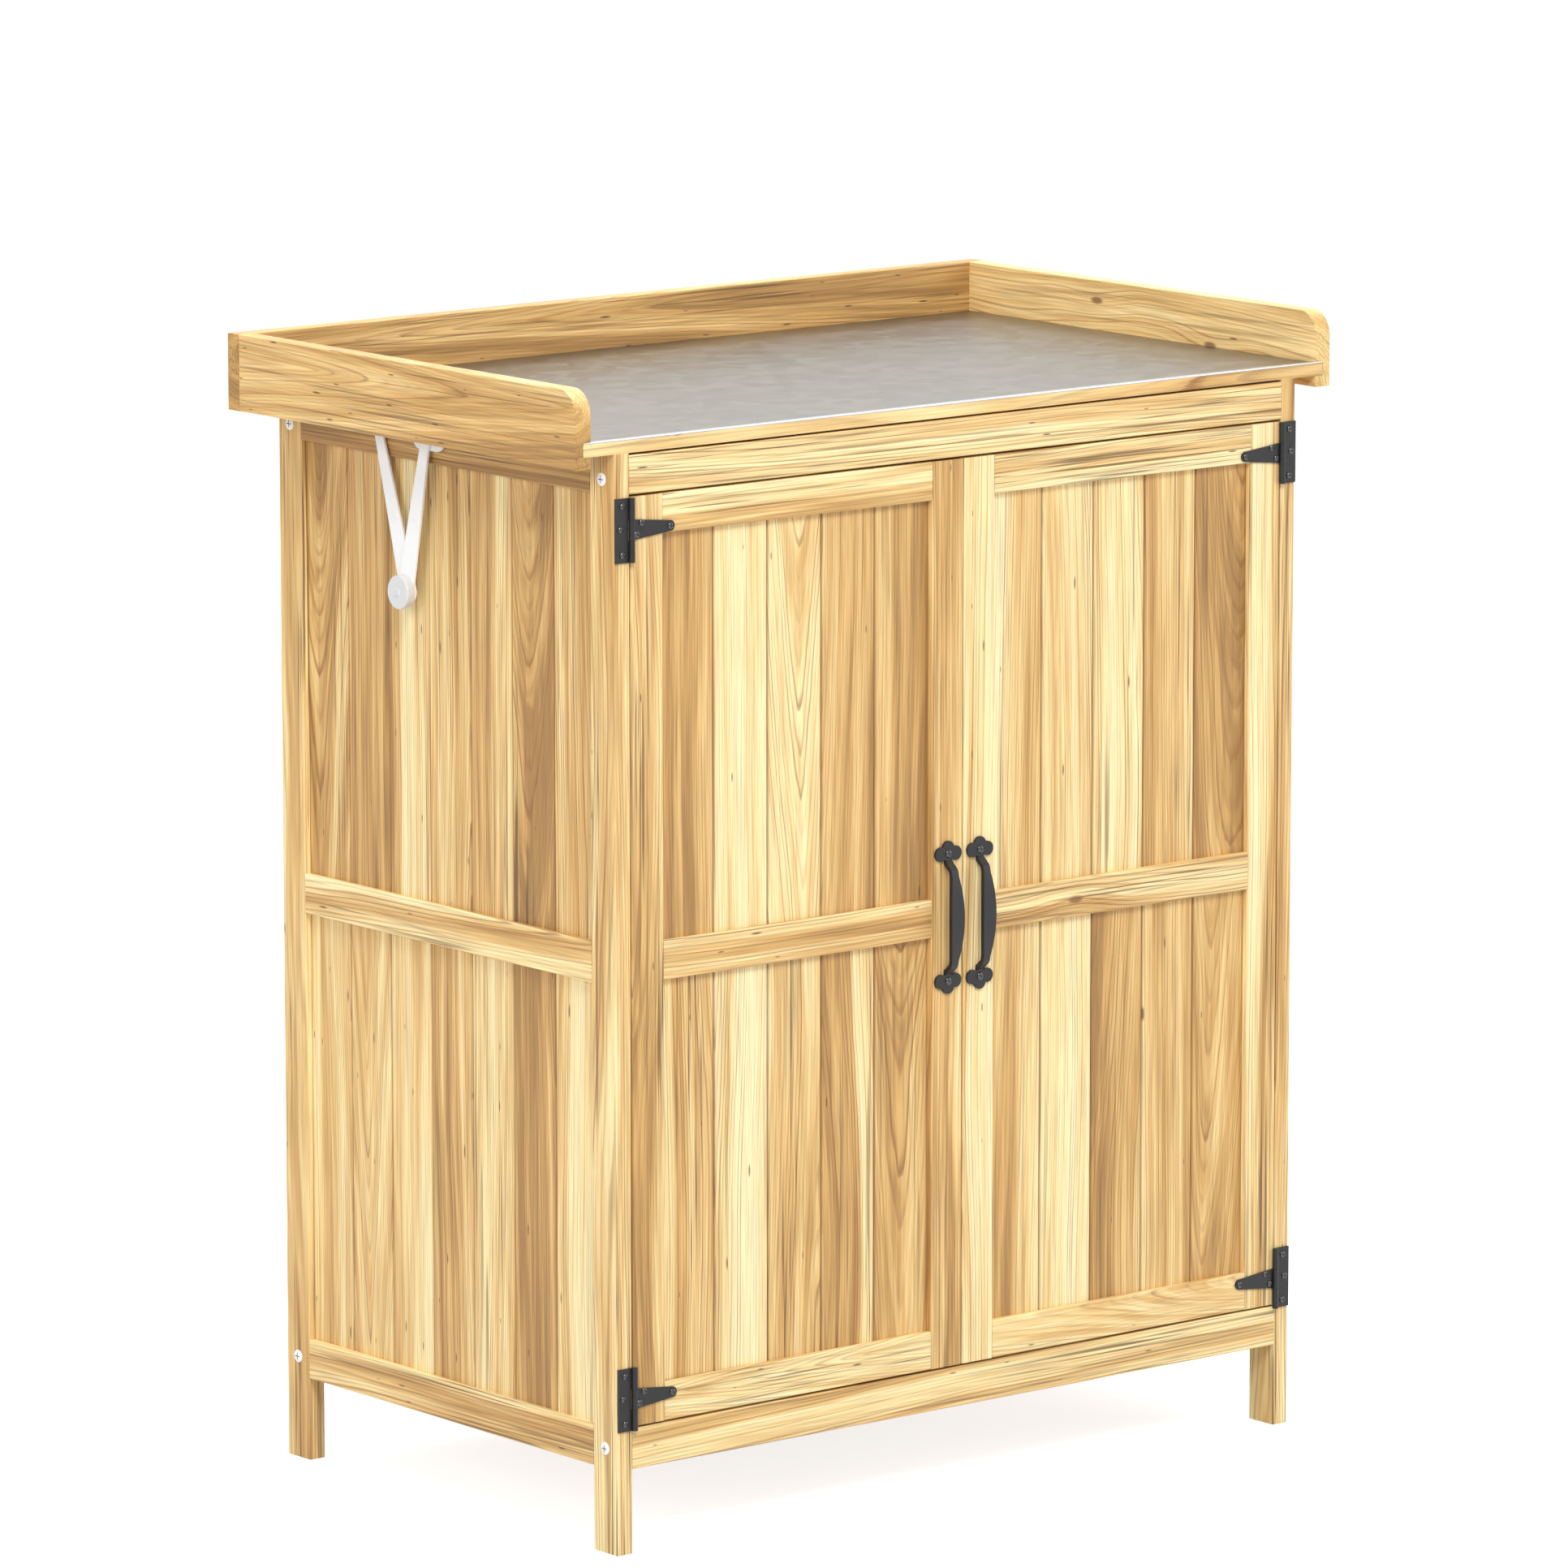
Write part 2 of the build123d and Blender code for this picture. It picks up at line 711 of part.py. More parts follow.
lid_back_screws = []
lid_back_screw_high = lid_high - lid_back_screw_inset
for side in (-1, 1):
    for level in (lid_back_screw_high - lid_back_screw_spacing, lid_back_screw_high):
        place = (side * (lid_x - stock / 2), lid_rear - lid_screw_dome, level)
        lid_back_screws.append(facing(place, (0, 1, 0)))
back_screw_hole = pilot(lid_screw_shank, lid_screw_length)
back_screw_hole += rod(lid_screw_head / 2 + drill_play, 0, 2 * lid_screw_dome)

housing_z = (leg_height - housing_play, top_surface + housing_play)
lid_left = timber((-lid_x, -lid_inner_x), (y_front, lid_back_face), (lid_low, lid_high), Axis.Y)
front_edge = lid_left.edges().filter_by(Axis.X).group_by(Axis.Y)[0].sort_by(Axis.Z)[-1]
lid_left = fillet(front_edge, lid_corner_radius)
lid_left -= block((-lid_inner_x - housing_depth, -lid_inner_x), (y_front, lid_back_face), housing_z)
lid_left = drilled(lid_left, lid_back_screws, back_screw_hole)
lid_back = timber((-lid_x, lid_x), (lid_back_face, lid_rear), (lid_low, lid_high), Axis.X)
housing_x = lid_inner_x + housing_depth
lid_back -= block((-housing_x, housing_x), (lid_back_face, lid_back_face + housing_depth), housing_z)
lid_back = drilled(lid_back, lid_back_screws, back_screw_hole)
lid_back = drilled(lid_back, board_leaf_screws, hinge_pilot)
save("lid_left_board", lid_left)
save("lid_right_board", mirrored(lid_left))
save("lid_back_board", lid_back)

# Bracket of the stay: a flange under the top and an ear that hangs beside the cabinet
stay_ear_x = (stay_inner_x - stay_arm_thickness, stay_inner_x)
flange_x = (stay_inner_x - flange_width, stay_inner_x)
flange_low = leg_height - stay_arm_thickness
bracket = block(flange_x, span(stay_lid_y, ear_width), (flange_low, leg_height))
ear = block(stay_ear_x, span(stay_lid_y, ear_width), (leg_height - ear_drop, leg_height))
ear = fillet(ear.edges().filter_by(Axis.X).group_by(Axis.Z)[0], ear_corner)
bracket = bracket + ear
bracket_screws = []
for along in span(stay_lid_y, ear_width - 2 * hinge_screw_head):
    place = (stay_inner_x - bracket_screw_reach, along, flange_low)
    bracket_screws.append(facing(place, (0, 0, -1)))
short_length = top_thickness - bracket_screw_cover + stay_arm_thickness
short_screw = screw(hinge_screw_head, hinge_screw_dome, hinge_screw_shank, short_length)
short_pilot = pilot(hinge_screw_shank, short_length)
save("stay_lid_bracket", drilled(bracket, bracket_screws, short_pilot))

batten_y = (shelf_front + batten_clearance, shelf_rear - batten_clearance)
batten_low = leg_height - stock
battens = []
batten_screws = []
for middle in (-batten_spacing / 2, batten_spacing / 2):
    batten = timber(span(middle, batten_width), batten_y, (batten_low, leg_height), Axis.Y)
    step = (batten_y[1] - batten_y[0]) / top_board_count
    places = []
    for number in range(top_board_count):
        along = batten_y[0] + (number + 0.5) * step
        places.append(facing((middle, along, batten_low), (0, 0, -1)))
    batten_pilot = pilot(lid_screw_shank, batten_screw_length)
    battens.append(drilled(batten, places, batten_pilot))
    batten_screws += places
save("lid_battens", *battens)

top_rear = lid_back_face + housing_depth - housing_play
top_half = housing_x - housing_play
top_pitch = (top_rear - y_front + top_board_gap) / top_board_count
top_boards = []
for number in range(top_board_count):
    near = y_front + number * top_pitch
    board = block((-top_half, top_half), (near, near + top_pitch - top_board_gap), (leg_height, top_surface))
    board = drilled(board, batten_screws, batten_pilot)
    top_boards.append(drilled(board, bracket_screws, short_pilot))
save("lid_top_boards", *top_boards)
sheet_half = lid_inner_x - sheet_play
sheet_y = (y_front, lid_back_face - sheet_play)
save("lid_steel_sheet", block((-sheet_half, sheet_half), sheet_y, (top_surface, top_surface + sheet_thickness)))

back_screw = screw(lid_screw_head, lid_screw_dome, lid_screw_shank, lid_screw_length)
batten_screw = screw(lid_screw_head, lid_screw_dome, lid_screw_shank, batten_screw_length)
lid_screws = [place * back_screw for place in lid_back_screws]
lid_screws += [place * batten_screw for place in batten_screws]
lid_screws += [place * hinge_screw for place in board_leaf_screws]
lid_screws += [place * short_screw for place in bracket_screws]
save("lid_screws", *lid_screws)


# Folding stay: two tapered arms that meet at a round hub

def stay_arm(start, end, layer_x):
    length = hypot(end[0] - start[0], end[1] - start[1])
    lean = asin((stay_arm_root_radius - stay_arm_end_radius) / length)
    root = (stay_arm_root_radius * sin(lean), stay_arm_root_radius * cos(lean))
    tip = (length + stay_arm_end_radius * sin(lean), stay_arm_end_radius * cos(lean))
    taper = make_face(
        Polyline((root[0], -root[1]), (tip[0], -tip[1]), (tip[0], tip[1]), (root[0], root[1]), close=True)
    )
    outline = taper + Circle(stay_arm_root_radius) + Pos(length, 0) * Circle(stay_arm_end_radius)
    direction = (0, end[0] - start[0], end[1] - start[1])
    frame = Plane(origin=(layer_x, start[0], start[1]), x_dir=direction, z_dir=(-1, 0, 0))
    return frame.location * extrude(outline, amount=stay_arm_thickness)


elbow = (stay_elbow_y, stay_elbow_z)
cabinet_pivot = (stay_cabinet_y, stay_pivot_z)
lid_pivot = (stay_lid_y, stay_pivot_z)
elbow_spot = facing((stay_inner_x, *elbow), (-1, 0, 0))
lid_spot = facing((stay_outer_x, *lid_pivot), (-1, 0, 0))
stack = 2 * stay_arm_thickness + stay_layer_gap

cabinet_arm = stay_arm(elbow, cabinet_pivot, stay_inner_x)
cabinet_arm -= elbow_spot * rod(stay_shaft_radius + pin_run, -overcut, stack + overcut)
cabinet_arm -= stay_cabinet_spot * rod(stay_pivot_radius + pin_run, -overcut, stack + stay_spacer)
lid_arm = stay_arm(elbow, lid_pivot, stay_outer_x)
lid_arm -= elbow_spot * rod(stay_shaft_radius + pin_press, -overcut, stack + overcut)
lid_arm -= lid_spot * rod(stay_pivot_radius + pin_press, -overcut, stack)
save("stay_cabinet_arm", cabinet_arm)
save("stay_lid_arm", lid_arm)

hub_disc = rod(stay_hub_radius, stack + pin_press, stack + stay_hub_thickness)
hub_rim = hub_disc.edges().filter_by(GeomType.CIRCLE).sort_by(Axis.Z)[-1]
hub = chamfer(hub_rim, edge_ease)
hub += rod(stay_button_radius, stack + overcut, stack + stay_hub_thickness + stay_button_height)
hub += rod(stay_shaft_radius, -stay_rivet_head_height - pin_run, stack + overcut)
hub += rod(stay_rivet_head_radius, -stay_rivet_head_height - pin_run, -pin_run)
head_low = stay_arm_thickness + pin_press
upper_rivet = rod(stay_pivot_radius, 0, head_low + stay_pivot_head_height)
upper_rivet += rod(stay_pivot_head / 2, head_low, head_low + stay_pivot_head_height)
save("stay_hub", elbow_spot * hub, lid_spot * upper_rivet)

arm_outside = stay_spacer + stay_arm_thickness
shoulder_screw = rod(stay_pivot_radius, -stay_screw_depth, arm_outside + stay_pivot_head_height)
shoulder_screw += rod(stay_pivot_head / 2, 0, stay_spacer - pin_run)
shoulder_screw += rod(stay_pivot_head / 2, arm_outside + pin_run, arm_outside + stay_pivot_head_height)
save("stay_pivot_screw", stay_cabinet_spot * shoulder_screw)
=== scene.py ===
import bmesh
import bpy
import math
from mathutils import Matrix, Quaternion, Vector


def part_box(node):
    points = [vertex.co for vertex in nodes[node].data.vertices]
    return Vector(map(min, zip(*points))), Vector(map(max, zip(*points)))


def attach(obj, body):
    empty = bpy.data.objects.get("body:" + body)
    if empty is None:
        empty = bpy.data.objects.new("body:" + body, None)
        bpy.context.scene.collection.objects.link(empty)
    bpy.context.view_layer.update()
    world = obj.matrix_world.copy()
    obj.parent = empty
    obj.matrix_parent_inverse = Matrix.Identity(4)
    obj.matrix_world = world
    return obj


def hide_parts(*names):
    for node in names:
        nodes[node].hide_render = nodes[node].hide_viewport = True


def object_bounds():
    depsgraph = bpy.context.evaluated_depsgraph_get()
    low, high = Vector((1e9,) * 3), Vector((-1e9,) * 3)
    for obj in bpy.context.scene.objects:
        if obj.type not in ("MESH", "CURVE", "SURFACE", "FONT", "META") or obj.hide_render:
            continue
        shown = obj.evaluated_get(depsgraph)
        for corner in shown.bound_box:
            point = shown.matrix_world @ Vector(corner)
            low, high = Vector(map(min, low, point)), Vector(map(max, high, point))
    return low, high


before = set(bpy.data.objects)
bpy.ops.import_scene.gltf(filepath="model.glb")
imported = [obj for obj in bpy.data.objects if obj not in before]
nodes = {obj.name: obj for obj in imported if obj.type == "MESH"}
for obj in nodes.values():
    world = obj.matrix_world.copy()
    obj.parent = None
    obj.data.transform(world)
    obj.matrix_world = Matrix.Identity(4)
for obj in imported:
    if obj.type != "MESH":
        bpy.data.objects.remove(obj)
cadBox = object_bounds()
mm = 0.001                   # in m
metre = 1000.0               # in mm
print("frame loaded:", len(nodes), "pieces of the bench")


def hexColour(text):
    shares = [int(text[i:i + 2], 16) / 255 for i in (1, 3, 5)]
    linear = [s / 12.92 if s < 0.04045 else ((s + 0.055) / 1.055) ** 2.4 for s in shares]
    return (*linear, 1.0)


def addNode(tree, kind, inputs, **settings):
    node = tree.nodes.new("ShaderNode" + kind)
    for name, value in settings.items():
        setattr(node, name, value)
    for socket, value in inputs.items():
        if isinstance(value, bpy.types.Node):
            value = value.outputs[0]
        if isinstance(value, bpy.types.NodeSocket):
            tree.links.new(value, node.inputs[socket])
        else:
            node.inputs[socket].default_value = value
    return node


def startMaterial(name):
    material = bpy.data.materials.new(name)
    material.use_nodes = True
    tree = material.node_tree
    return material, tree, tree.nodes["Principled BSDF"]


def setRamp(node, stops, interpolation="LINEAR"):
    ramp = node.color_ramp
    ramp.interpolation = interpolation
    while len(ramp.elements) < len(stops):
        ramp.elements.new(0.5)
    for element, (place, colour) in zip(ramp.elements, stops):
        element.position = place
        element.color = colour


def grey(share):
    return (share, share, share, 1.0)


# Fir, planed and clear coated: pale sapwood and tan heartwood in soft bands, thin brown late-wood lines
# that run straight on a quartered board and arch on a flat-sawn one, a few streaks, flecks and small knots
fir = {
    "bands": [(0.0, "#FEEDBA"), (0.3, "#F8DEA2"), (0.56, "#E4BE7E"), (0.78, "#CCA060"), (1.0, "#A57D47")],
    "lateWood": "#8E5C26",
    "streak": "#654826",
    "fleck": "#573819",
    "knot": "#7A5027",
    # painted shade in the grooves between boards
    "seamShade": "#8C6336",
    "endGrain": "#F1EEE0",
    "apart": (900.0, 5000.0),    # mm across and along, boards come from places up to this far apart
    "heartDepth": (10.0, 42.0),  # mm from the board's face to the heart of the tree
    "sway": (420.0, 620.0),      # mm across and along of one sway of the heart
    "swaySize": (16.0, 50.0),    # mm that it sways across and in depth
    "ripple": (17.0, 300.0),     # mm across and along of the uneven growth that moves the lines
    "rippleSize": 4.2,
    "taper": (0.085, 0.004),     # mm of growth lost per mm up a flat-sawn board and up a quartered one
    "flatSawn": (8.0, 40.0),     # mm off the heart where a board counts as the one and as the other
    "ringWidth": 2.7,            # mm between late-wood lines
    "ringLine": [(0.0, 0.0), (0.58, 0.06), (0.85, 1.0), (0.95, 0.75), (1.0, 0.0)],
    "ringLuck": 2.0,             # power that leaves most lines faint
    "ringFaint": 0.2,            # strength of the faintest line
    "lateShare": 0.95,
    "noiseSpan": (0.3, 0.7),     # where most of a noise lies
    "band": (24.0, 1300.0),      # mm across the rings and along them
    "bandDrift": 0.3,            # how far bands also change across the board
    "sapwood": (30.0, 120.0),    # mm from the heart where tan wood turns pale, other on each board
    "sapwoodEdge": 4.0,
    "streakSize": (2.8, 210.0),
    "streakEdge": (0.54, 0.64),
    "streakShare": 0.9,
    "streakPatch": (32.0, 500.0),
    "patchEdge": (0.46, 0.6),
    "fibre": (1.5, 70.0),        # real fibres are finer, drawn this coarse so that they show
    "fibreShade": (0.8, 1.14),
    "fleckSpacing": (12.0, 75.0),
    "fleckReach": (0.03, 0.1),   # shortest and longest fleck, in spacings
    "fleckHeart": 0.45,          # share of a fleck that is fully dark
    "knotSpacing": (120.0, 300.0),
    "knotPush": 6.0,             # mm that a knot pushes the rings
    "knotHalo": 0.24,            # how far out it does so, in spacings
    "knotHeart": (0.014, 0.036),
    "darkShare": 0.85,           # how much of their colour flecks and knots show
    "seamShadeWidth": (0.4, 1.9),     # mm from a board's edge where the painted shade in its groove is darkest and where it fades out
    "endTurn": (0.7, 0.9),       # how squarely a face looks along the grain to count as a cut end
    "endShare": 0.8,
    "endLines": 0.85,            # strength that late-wood lines keep on a cut end
    "roughness": (0.58, 0.44),
    "lineRelief": 0.6,           # late-wood lines against fibres
    "bump": 0.5,
    "relief": 0.00035,
    "ior": 1.5,
}


# Noise drawn out along the grain, its size in mm across and along
def grainNoise(tree, spot, size, detail, roughness):
    wide, long = size
    drawn = addNode(tree, "VectorMath", {0: spot, 1: (1 / wide, 1 / wide, 1 / long)}, operation="MULTIPLY")
    return addNode(tree, "TexNoise",
                   {"Vector": drawn, "Scale": 1.0, "Detail": detail, "Roughness": roughness})


# Cells on a board's face: how far the middle of each is, and the numbers thrown for it
def grainCells(tree, aside, slide, size):
    wide, long = size
    face = addNode(tree, "CombineXYZ", {0: aside, 1: slide})
    face = addNode(tree, "VectorMath", {0: face, 1: (1 / wide, 1 / long, 0)}, operation="MULTIPLY")
    cells = addNode(tree, "TexVoronoi", {"Vector": face, "Scale": 1.0}, voronoi_dimensions="2D")
    return cells.outputs["Distance"], addNode(tree, "SeparateColor", {0: cells.outputs["Color"]})


def firMaterial(name, look):
    material, tree, shader = startMaterial(name)
    place = addNode(tree, "TexCoord", {})
    point = addNode(tree, "VectorMath", {0: place.outputs["Object"], 1: (metre, metre, metre)},
                    operation="MULTIPLY")
    parts = addNode(tree, "SeparateXYZ", {0: point})
    across, depth, along = (parts.outputs["XYZ".index(axis)] for axis in look["axes"])

    # which board this is, and four numbers thrown for it
    share = addNode(tree, "Math", {0: across, 1: -look["first"]}, operation="ADD")
    share = addNode(tree, "Math", {0: share, 1: look["pitch"]}, operation="DIVIDE")
    number = addNode(tree, "Math", {0: share}, operation="FLOOR")
    upper = addNode(tree, "Math", {0: along, 1: look["split"]}, operation="GREATER_THAN")
    board = addNode(tree, "CombineXYZ", {0: number, 1: upper, 2: look["seed"]})
    throw = addNode(tree, "TexWhiteNoise", {"Vector": board}, noise_dimensions="3D")
    dice = addNode(tree, "SeparateColor", {0: throw.outputs["Color"]})
    middle = addNode(tree, "Math", {0: share}, operation="FRACT")
    middle = addNode(tree, "Math", {0: middle, 1: 0.5}, operation="SUBTRACT")
    local = addNode(tree, "Math", {0: middle, 1: look["pitch"]}, operation="MULTIPLY")
    inward = addNode(tree, "Math", {0: depth, 1: look["depth"]}, operation="SUBTRACT")
    wide, long = fir["apart"]
    slide = addNode(tree, "Math", {0: dice.outputs[2], 1: long, 2: along}, operation="MULTIPLY_ADD")
    shift = addNode(tree, "Math", {0: throw.outputs["Value"], 1: wide, 2: local}, operation="MULTIPLY_ADD")
    spot = addNode(tree, "CombineXYZ", {0: shift, 1: inward, 2: slide})

    # knots push the rings aside
    away, luck = grainCells(tree, shift, slide, fir["knotSpacing"])
    present = addNode(tree, "Math", {0: luck, 1: look["knots"]}, operation="LESS_THAN")
    halo = addNode(tree, "MapRange", {0: away, 1: 0.0, 2: fir["knotHalo"], 3: fir["knotPush"], 4: 0.0},
                   interpolation_type="SMOOTHSTEP")
    halo = addNode(tree, "Math", {0: halo, 1: present}, operation="MULTIPLY")
    near, far = fir["knotHeart"]
    core = addNode(tree, "MapRange", {0: away, 1: near, 2: far, 3: fir["darkShare"], 4: 0.0},
                   interpolation_type="SMOOTHSTEP")
    core = addNode(tree, "Math", {0: core, 1: present}, operation="MULTIPLY")

    # what this board was given: its tone, how far off the heart it was sawn, its streaks and its lines
    own = [0.0, 0.0, 0.0, 0.0]
    for row, boards in enumerate(look["boards"]):
        seat = addNode(tree, "Math", {0: number, 1: len(boards)}, operation="DIVIDE")
        seat = addNode(tree, "Math", {0: seat, 1: 0.5 / len(boards)}, operation="ADD")
        given = addNode(tree, "ValToRGB", {0: seat})
        stops = [(tone, aside / heartReach / 2 + 0.5, streaks, lines)
                 for tone, aside, streaks, lines in boards]
        setRamp(given, [(n / len(boards), stop) for n, stop in enumerate(stops)], "CONSTANT")
        shares = addNode(tree, "SeparateColor", {0: given})
        chosen = addNode(tree, "Math", {0: upper, 1: float(row), 2: rowSlack}, operation="COMPARE")
        for n, share in enumerate([*shares.outputs, given.outputs["Alpha"]]):
            own[n] = addNode(tree, "Math", {0: share, 1: chosen, 2: own[n]}, operation="MULTIPLY_ADD")
    tone, heart, streaks, lines = own
    heartAcross = addNode(tree, "MapRange", {0: heart, 3: -heartReach, 4: heartReach})

    # distance from that heart, which sways along the board
    sway = grainNoise(tree, spot, fir["sway"], detail=1.5, roughness=0.4)
    sway = addNode(tree, "VectorMath", {0: sway.outputs["Color"], 1: (0.5, 0.5, 0.5)}, operation="SUBTRACT")
    aside, inside = fir["swaySize"]
    sway = addNode(tree, "VectorMath", {0: sway, 1: (2 * aside, 2 * inside, 0)}, operation="MULTIPLY")
    near, far = fir["heartDepth"]
    heartDepth = addNode(tree, "MapRange", {0: dice.outputs[1], 3: near, 4: far})
    fromHeart = addNode(tree, "Math", {0: local, 1: heartAcross}, operation="SUBTRACT")
    below = addNode(tree, "Math", {0: inward, 1: heartDepth}, operation="ADD")
    fromHeart = addNode(tree, "CombineXYZ", {0: fromHeart, 1: below})
    fromHeart = addNode(tree, "VectorMath", {0: fromHeart, 1: sway}, operation="ADD")
    radius = addNode(tree, "VectorMath", {0: fromHeart}, operation="LENGTH").outputs["Value"]
    ripple = grainNoise(tree, spot, fir["ripple"], detail=3.0, roughness=0.55)
    radius = addNode(tree, "Math", {0: ripple, 1: fir["rippleSize"], 2: radius}, operation="MULTIPLY_ADD")
    radius = addNode(tree, "Math", {0: radius, 1: halo}, operation="ADD")
    arching, straight = fir["taper"]
    near, far = fir["flatSawn"]
    taper = addNode(tree, "Math", {0: heartAcross}, operation="ABSOLUTE")
    taper = addNode(tree, "MapRange", {0: taper, 1: near, 2: far, 3: -arching, 4: -straight})
    radius = addNode(tree, "Math", {0: taper, 1: along, 2: radius}, operation="MULTIPLY_ADD")

    # late-wood lines, some strong and some faint, and weaker on cut ends
    ring = addNode(tree, "Math", {0: radius, 1: fir["ringWidth"] * look["coarse"]}, operation="DIVIDE")
    ringNumber = addNode(tree, "Math", {0: ring}, operation="FLOOR")
    ringShare = addNode(tree, "Math", {0: ring}, operation="FRACT")
    ringLuck = addNode(tree, "TexWhiteNoise", {"Vector": board, "W": ringNumber}, noise_dimensions="4D")
    ringLuck = addNode(tree, "Math", {0: ringLuck, 1: fir["ringLuck"]}, operation="POWER")
    strength = addNode(tree, "MapRange", {0: ringLuck, 3: fir["ringFaint"], 4: 1.0})
    strength = addNode(tree, "Math", {0: strength, 1: lines}, operation="MULTIPLY")
    late = addNode(tree, "ValToRGB", {0: ringShare})
    setRamp(late, [(at, grey(value)) for at, value in fir["ringLine"]])
    late = addNode(tree, "Math", {0: late, 1: strength}, operation="MULTIPLY", use_clamp=True)
    facing = addNode(tree, "SeparateXYZ", {0: place.outputs["Normal"]})
    ends = addNode(tree, "Math", {0: facing.outputs["XYZ".index(look["axes"][2])]}, operation="ABSOLUTE")
    low, high = fir["endTurn"]
    ends = addNode(tree, "MapRange", {0: ends, 1: low, 2: high, 3: 0.0, 4: fir["endShare"]})
    faces = addNode(tree, "MapRange", {0: ends, 3: 1.0, 4: fir["endLines"]})
    late = addNode(tree, "Math", {0: late, 1: faces}, operation="MULTIPLY")

    # pale and tan bands that follow the rings, on the board's own tone
    wide, long = fir["band"]
    band = addNode(tree, "CombineXYZ", {0: radius, 1: slide, 2: shift})
    band = addNode(tree, "VectorMath", {0: band, 1: (1 / wide, 1 / long, fir["bandDrift"] / wide)},
                   operation="MULTIPLY")
    band = addNode(tree, "TexNoise", {"Vector": band, "Scale": 1.0, "Detail": 4.0, "Roughness": 0.78})
    low, high = fir["noiseSpan"]
    band = addNode(tree, "MapRange", {0: band, 1: low, 2: high, 3: -look["swing"], 4: look["swing"]},
                   clamp=False)
    tone = addNode(tree, "Math", {0: tone, 1: band}, operation="ADD")
    near, far = fir["sapwood"]
    turn = addNode(tree, "MapRange", {0: dice.outputs[0], 3: near, 4: far})
    turn = addNode(tree, "Math", {0: radius, 1: turn}, operation="SUBTRACT")
    reach = fir["sapwoodEdge"]
    turn = addNode(tree, "MapRange", {0: turn, 1: -reach, 2: reach, 3: look["sap"], 4: -look["sap"]},
                   interpolation_type="SMOOTHSTEP")
    tone = addNode(tree, "Math", {0: tone, 1: turn}, operation="ADD")
    colour = addNode(tree, "ValToRGB", {0: tone})
    setRamp(colour, [(at, hexColour(text)) for at, text in fir["bands"]])

    # the lines on them, and brown streaks in patches
    lateStain = addNode(tree, "Math", {0: late, 1: fir["lateShare"]}, operation="MULTIPLY")
    streak = grainNoise(tree, spot, fir["streakSize"], detail=2.0, roughness=0.6)
    low, high = fir["streakEdge"]
    streak = addNode(tree, "MapRange", {0: streak, 1: low, 2: high, 3: 0.0, 4: fir["streakShare"]})
    patch = grainNoise(tree, spot, fir["streakPatch"], detail=1.0, roughness=0.5)
    low, high = fir["patchEdge"]
    patch = addNode(tree, "MapRange", {0: patch, 1: low, 2: high})
    patch = addNode(tree, "Math", {0: patch, 1: streaks}, operation="MULTIPLY")
    streak = addNode(tree, "Math", {0: streak, 1: patch}, operation="MULTIPLY")
    for share, stain in ((lateStain, "lateWood"), (streak, "streak")):
        colour = addNode(tree, "Mix", {0: share, 6: colour, 7: hexColour(fir[stain])},
                         data_type="RGBA").outputs[2]

    # fine fibres
    fibre = grainNoise(tree, spot, fir["fibre"], detail=2.0, roughness=0.6)
    low, high = fir["noiseSpan"]
    dim, bright = fir["fibreShade"]
    shade = addNode(tree, "MapRange", {0: fibre, 1: low, 2: high, 3: dim, 4: bright})
    colour = addNode(tree, "Mix", {0: 1.0, 6: colour, 7: shade}, data_type="RGBA",
                     blend_type="MULTIPLY").outputs[2]

    # dark flecks, the hearts of knots, and shade in the grooves between boards
    aside = addNode(tree, "Math", {0: shift, 1: inward}, operation="ADD")
    away, luck = grainCells(tree, aside, slide, fir["fleckSpacing"])
    present = addNode(tree, "Math", {0: luck, 1: look["flecks"]}, operation="LESS_THAN")
    shortest, longest = fir["fleckReach"]
    reach = addNode(tree, "MapRange", {0: luck.outputs[1], 3: shortest, 4: longest})
    mark = addNode(tree, "Math", {0: away, 1: reach}, operation="DIVIDE")
    mark = addNode(tree, "MapRange", {0: mark, 1: fir["fleckHeart"], 2: 1.0, 3: fir["darkShare"], 4: 0.0})
    mark = addNode(tree, "Math", {0: mark, 1: present}, operation="MULTIPLY")
    # painted shade: the colour darkens towards each board's edge, where the groove between boards lies in
    # shade
    edge = addNode(tree, "Math", {0: local}, operation="ABSOLUTE")
    dark, fade = (look["pitch"] / 2 - width for width in fir["seamShadeWidth"])
    edge = addNode(tree, "MapRange", {0: edge, 1: fade, 2: dark, 3: 0.0, 4: look["groove"]})
    for share, stain in ((mark, "fleck"), (core, "knot"), (edge, "seamShade")):
        colour = addNode(tree, "Mix", {0: share, 6: colour, 7: hexColour(fir[stain])},
                         data_type="RGBA").outputs[2]

    # cut ends drink more of the coat and are a little darker
    colour = addNode(tree, "Mix", {0: ends, 6: colour, 7: hexColour(fir["endGrain"])}, data_type="RGBA",
                     blend_type="MULTIPLY").outputs[2]
    tree.links.new(colour, shader.inputs["Base Color"])

    early, lateGloss = fir["roughness"]
    rough = addNode(tree, "MapRange", {0: late, 3: early, 4: lateGloss})
    tree.links.new(rough.outputs[0], shader.inputs["Roughness"])
    height = addNode(tree, "Math", {0: late, 1: fir["lineRelief"], 2: fibre}, operation="MULTIPLY_ADD")
    bump = addNode(tree, "Bump", {"Height": height, "Strength": fir["bump"], "Distance": fir["relief"]})
    tree.links.new(bump.outputs[0], shader.inputs["Normal"])
    shader.inputs["IOR"].default_value = fir["ior"]
    return material


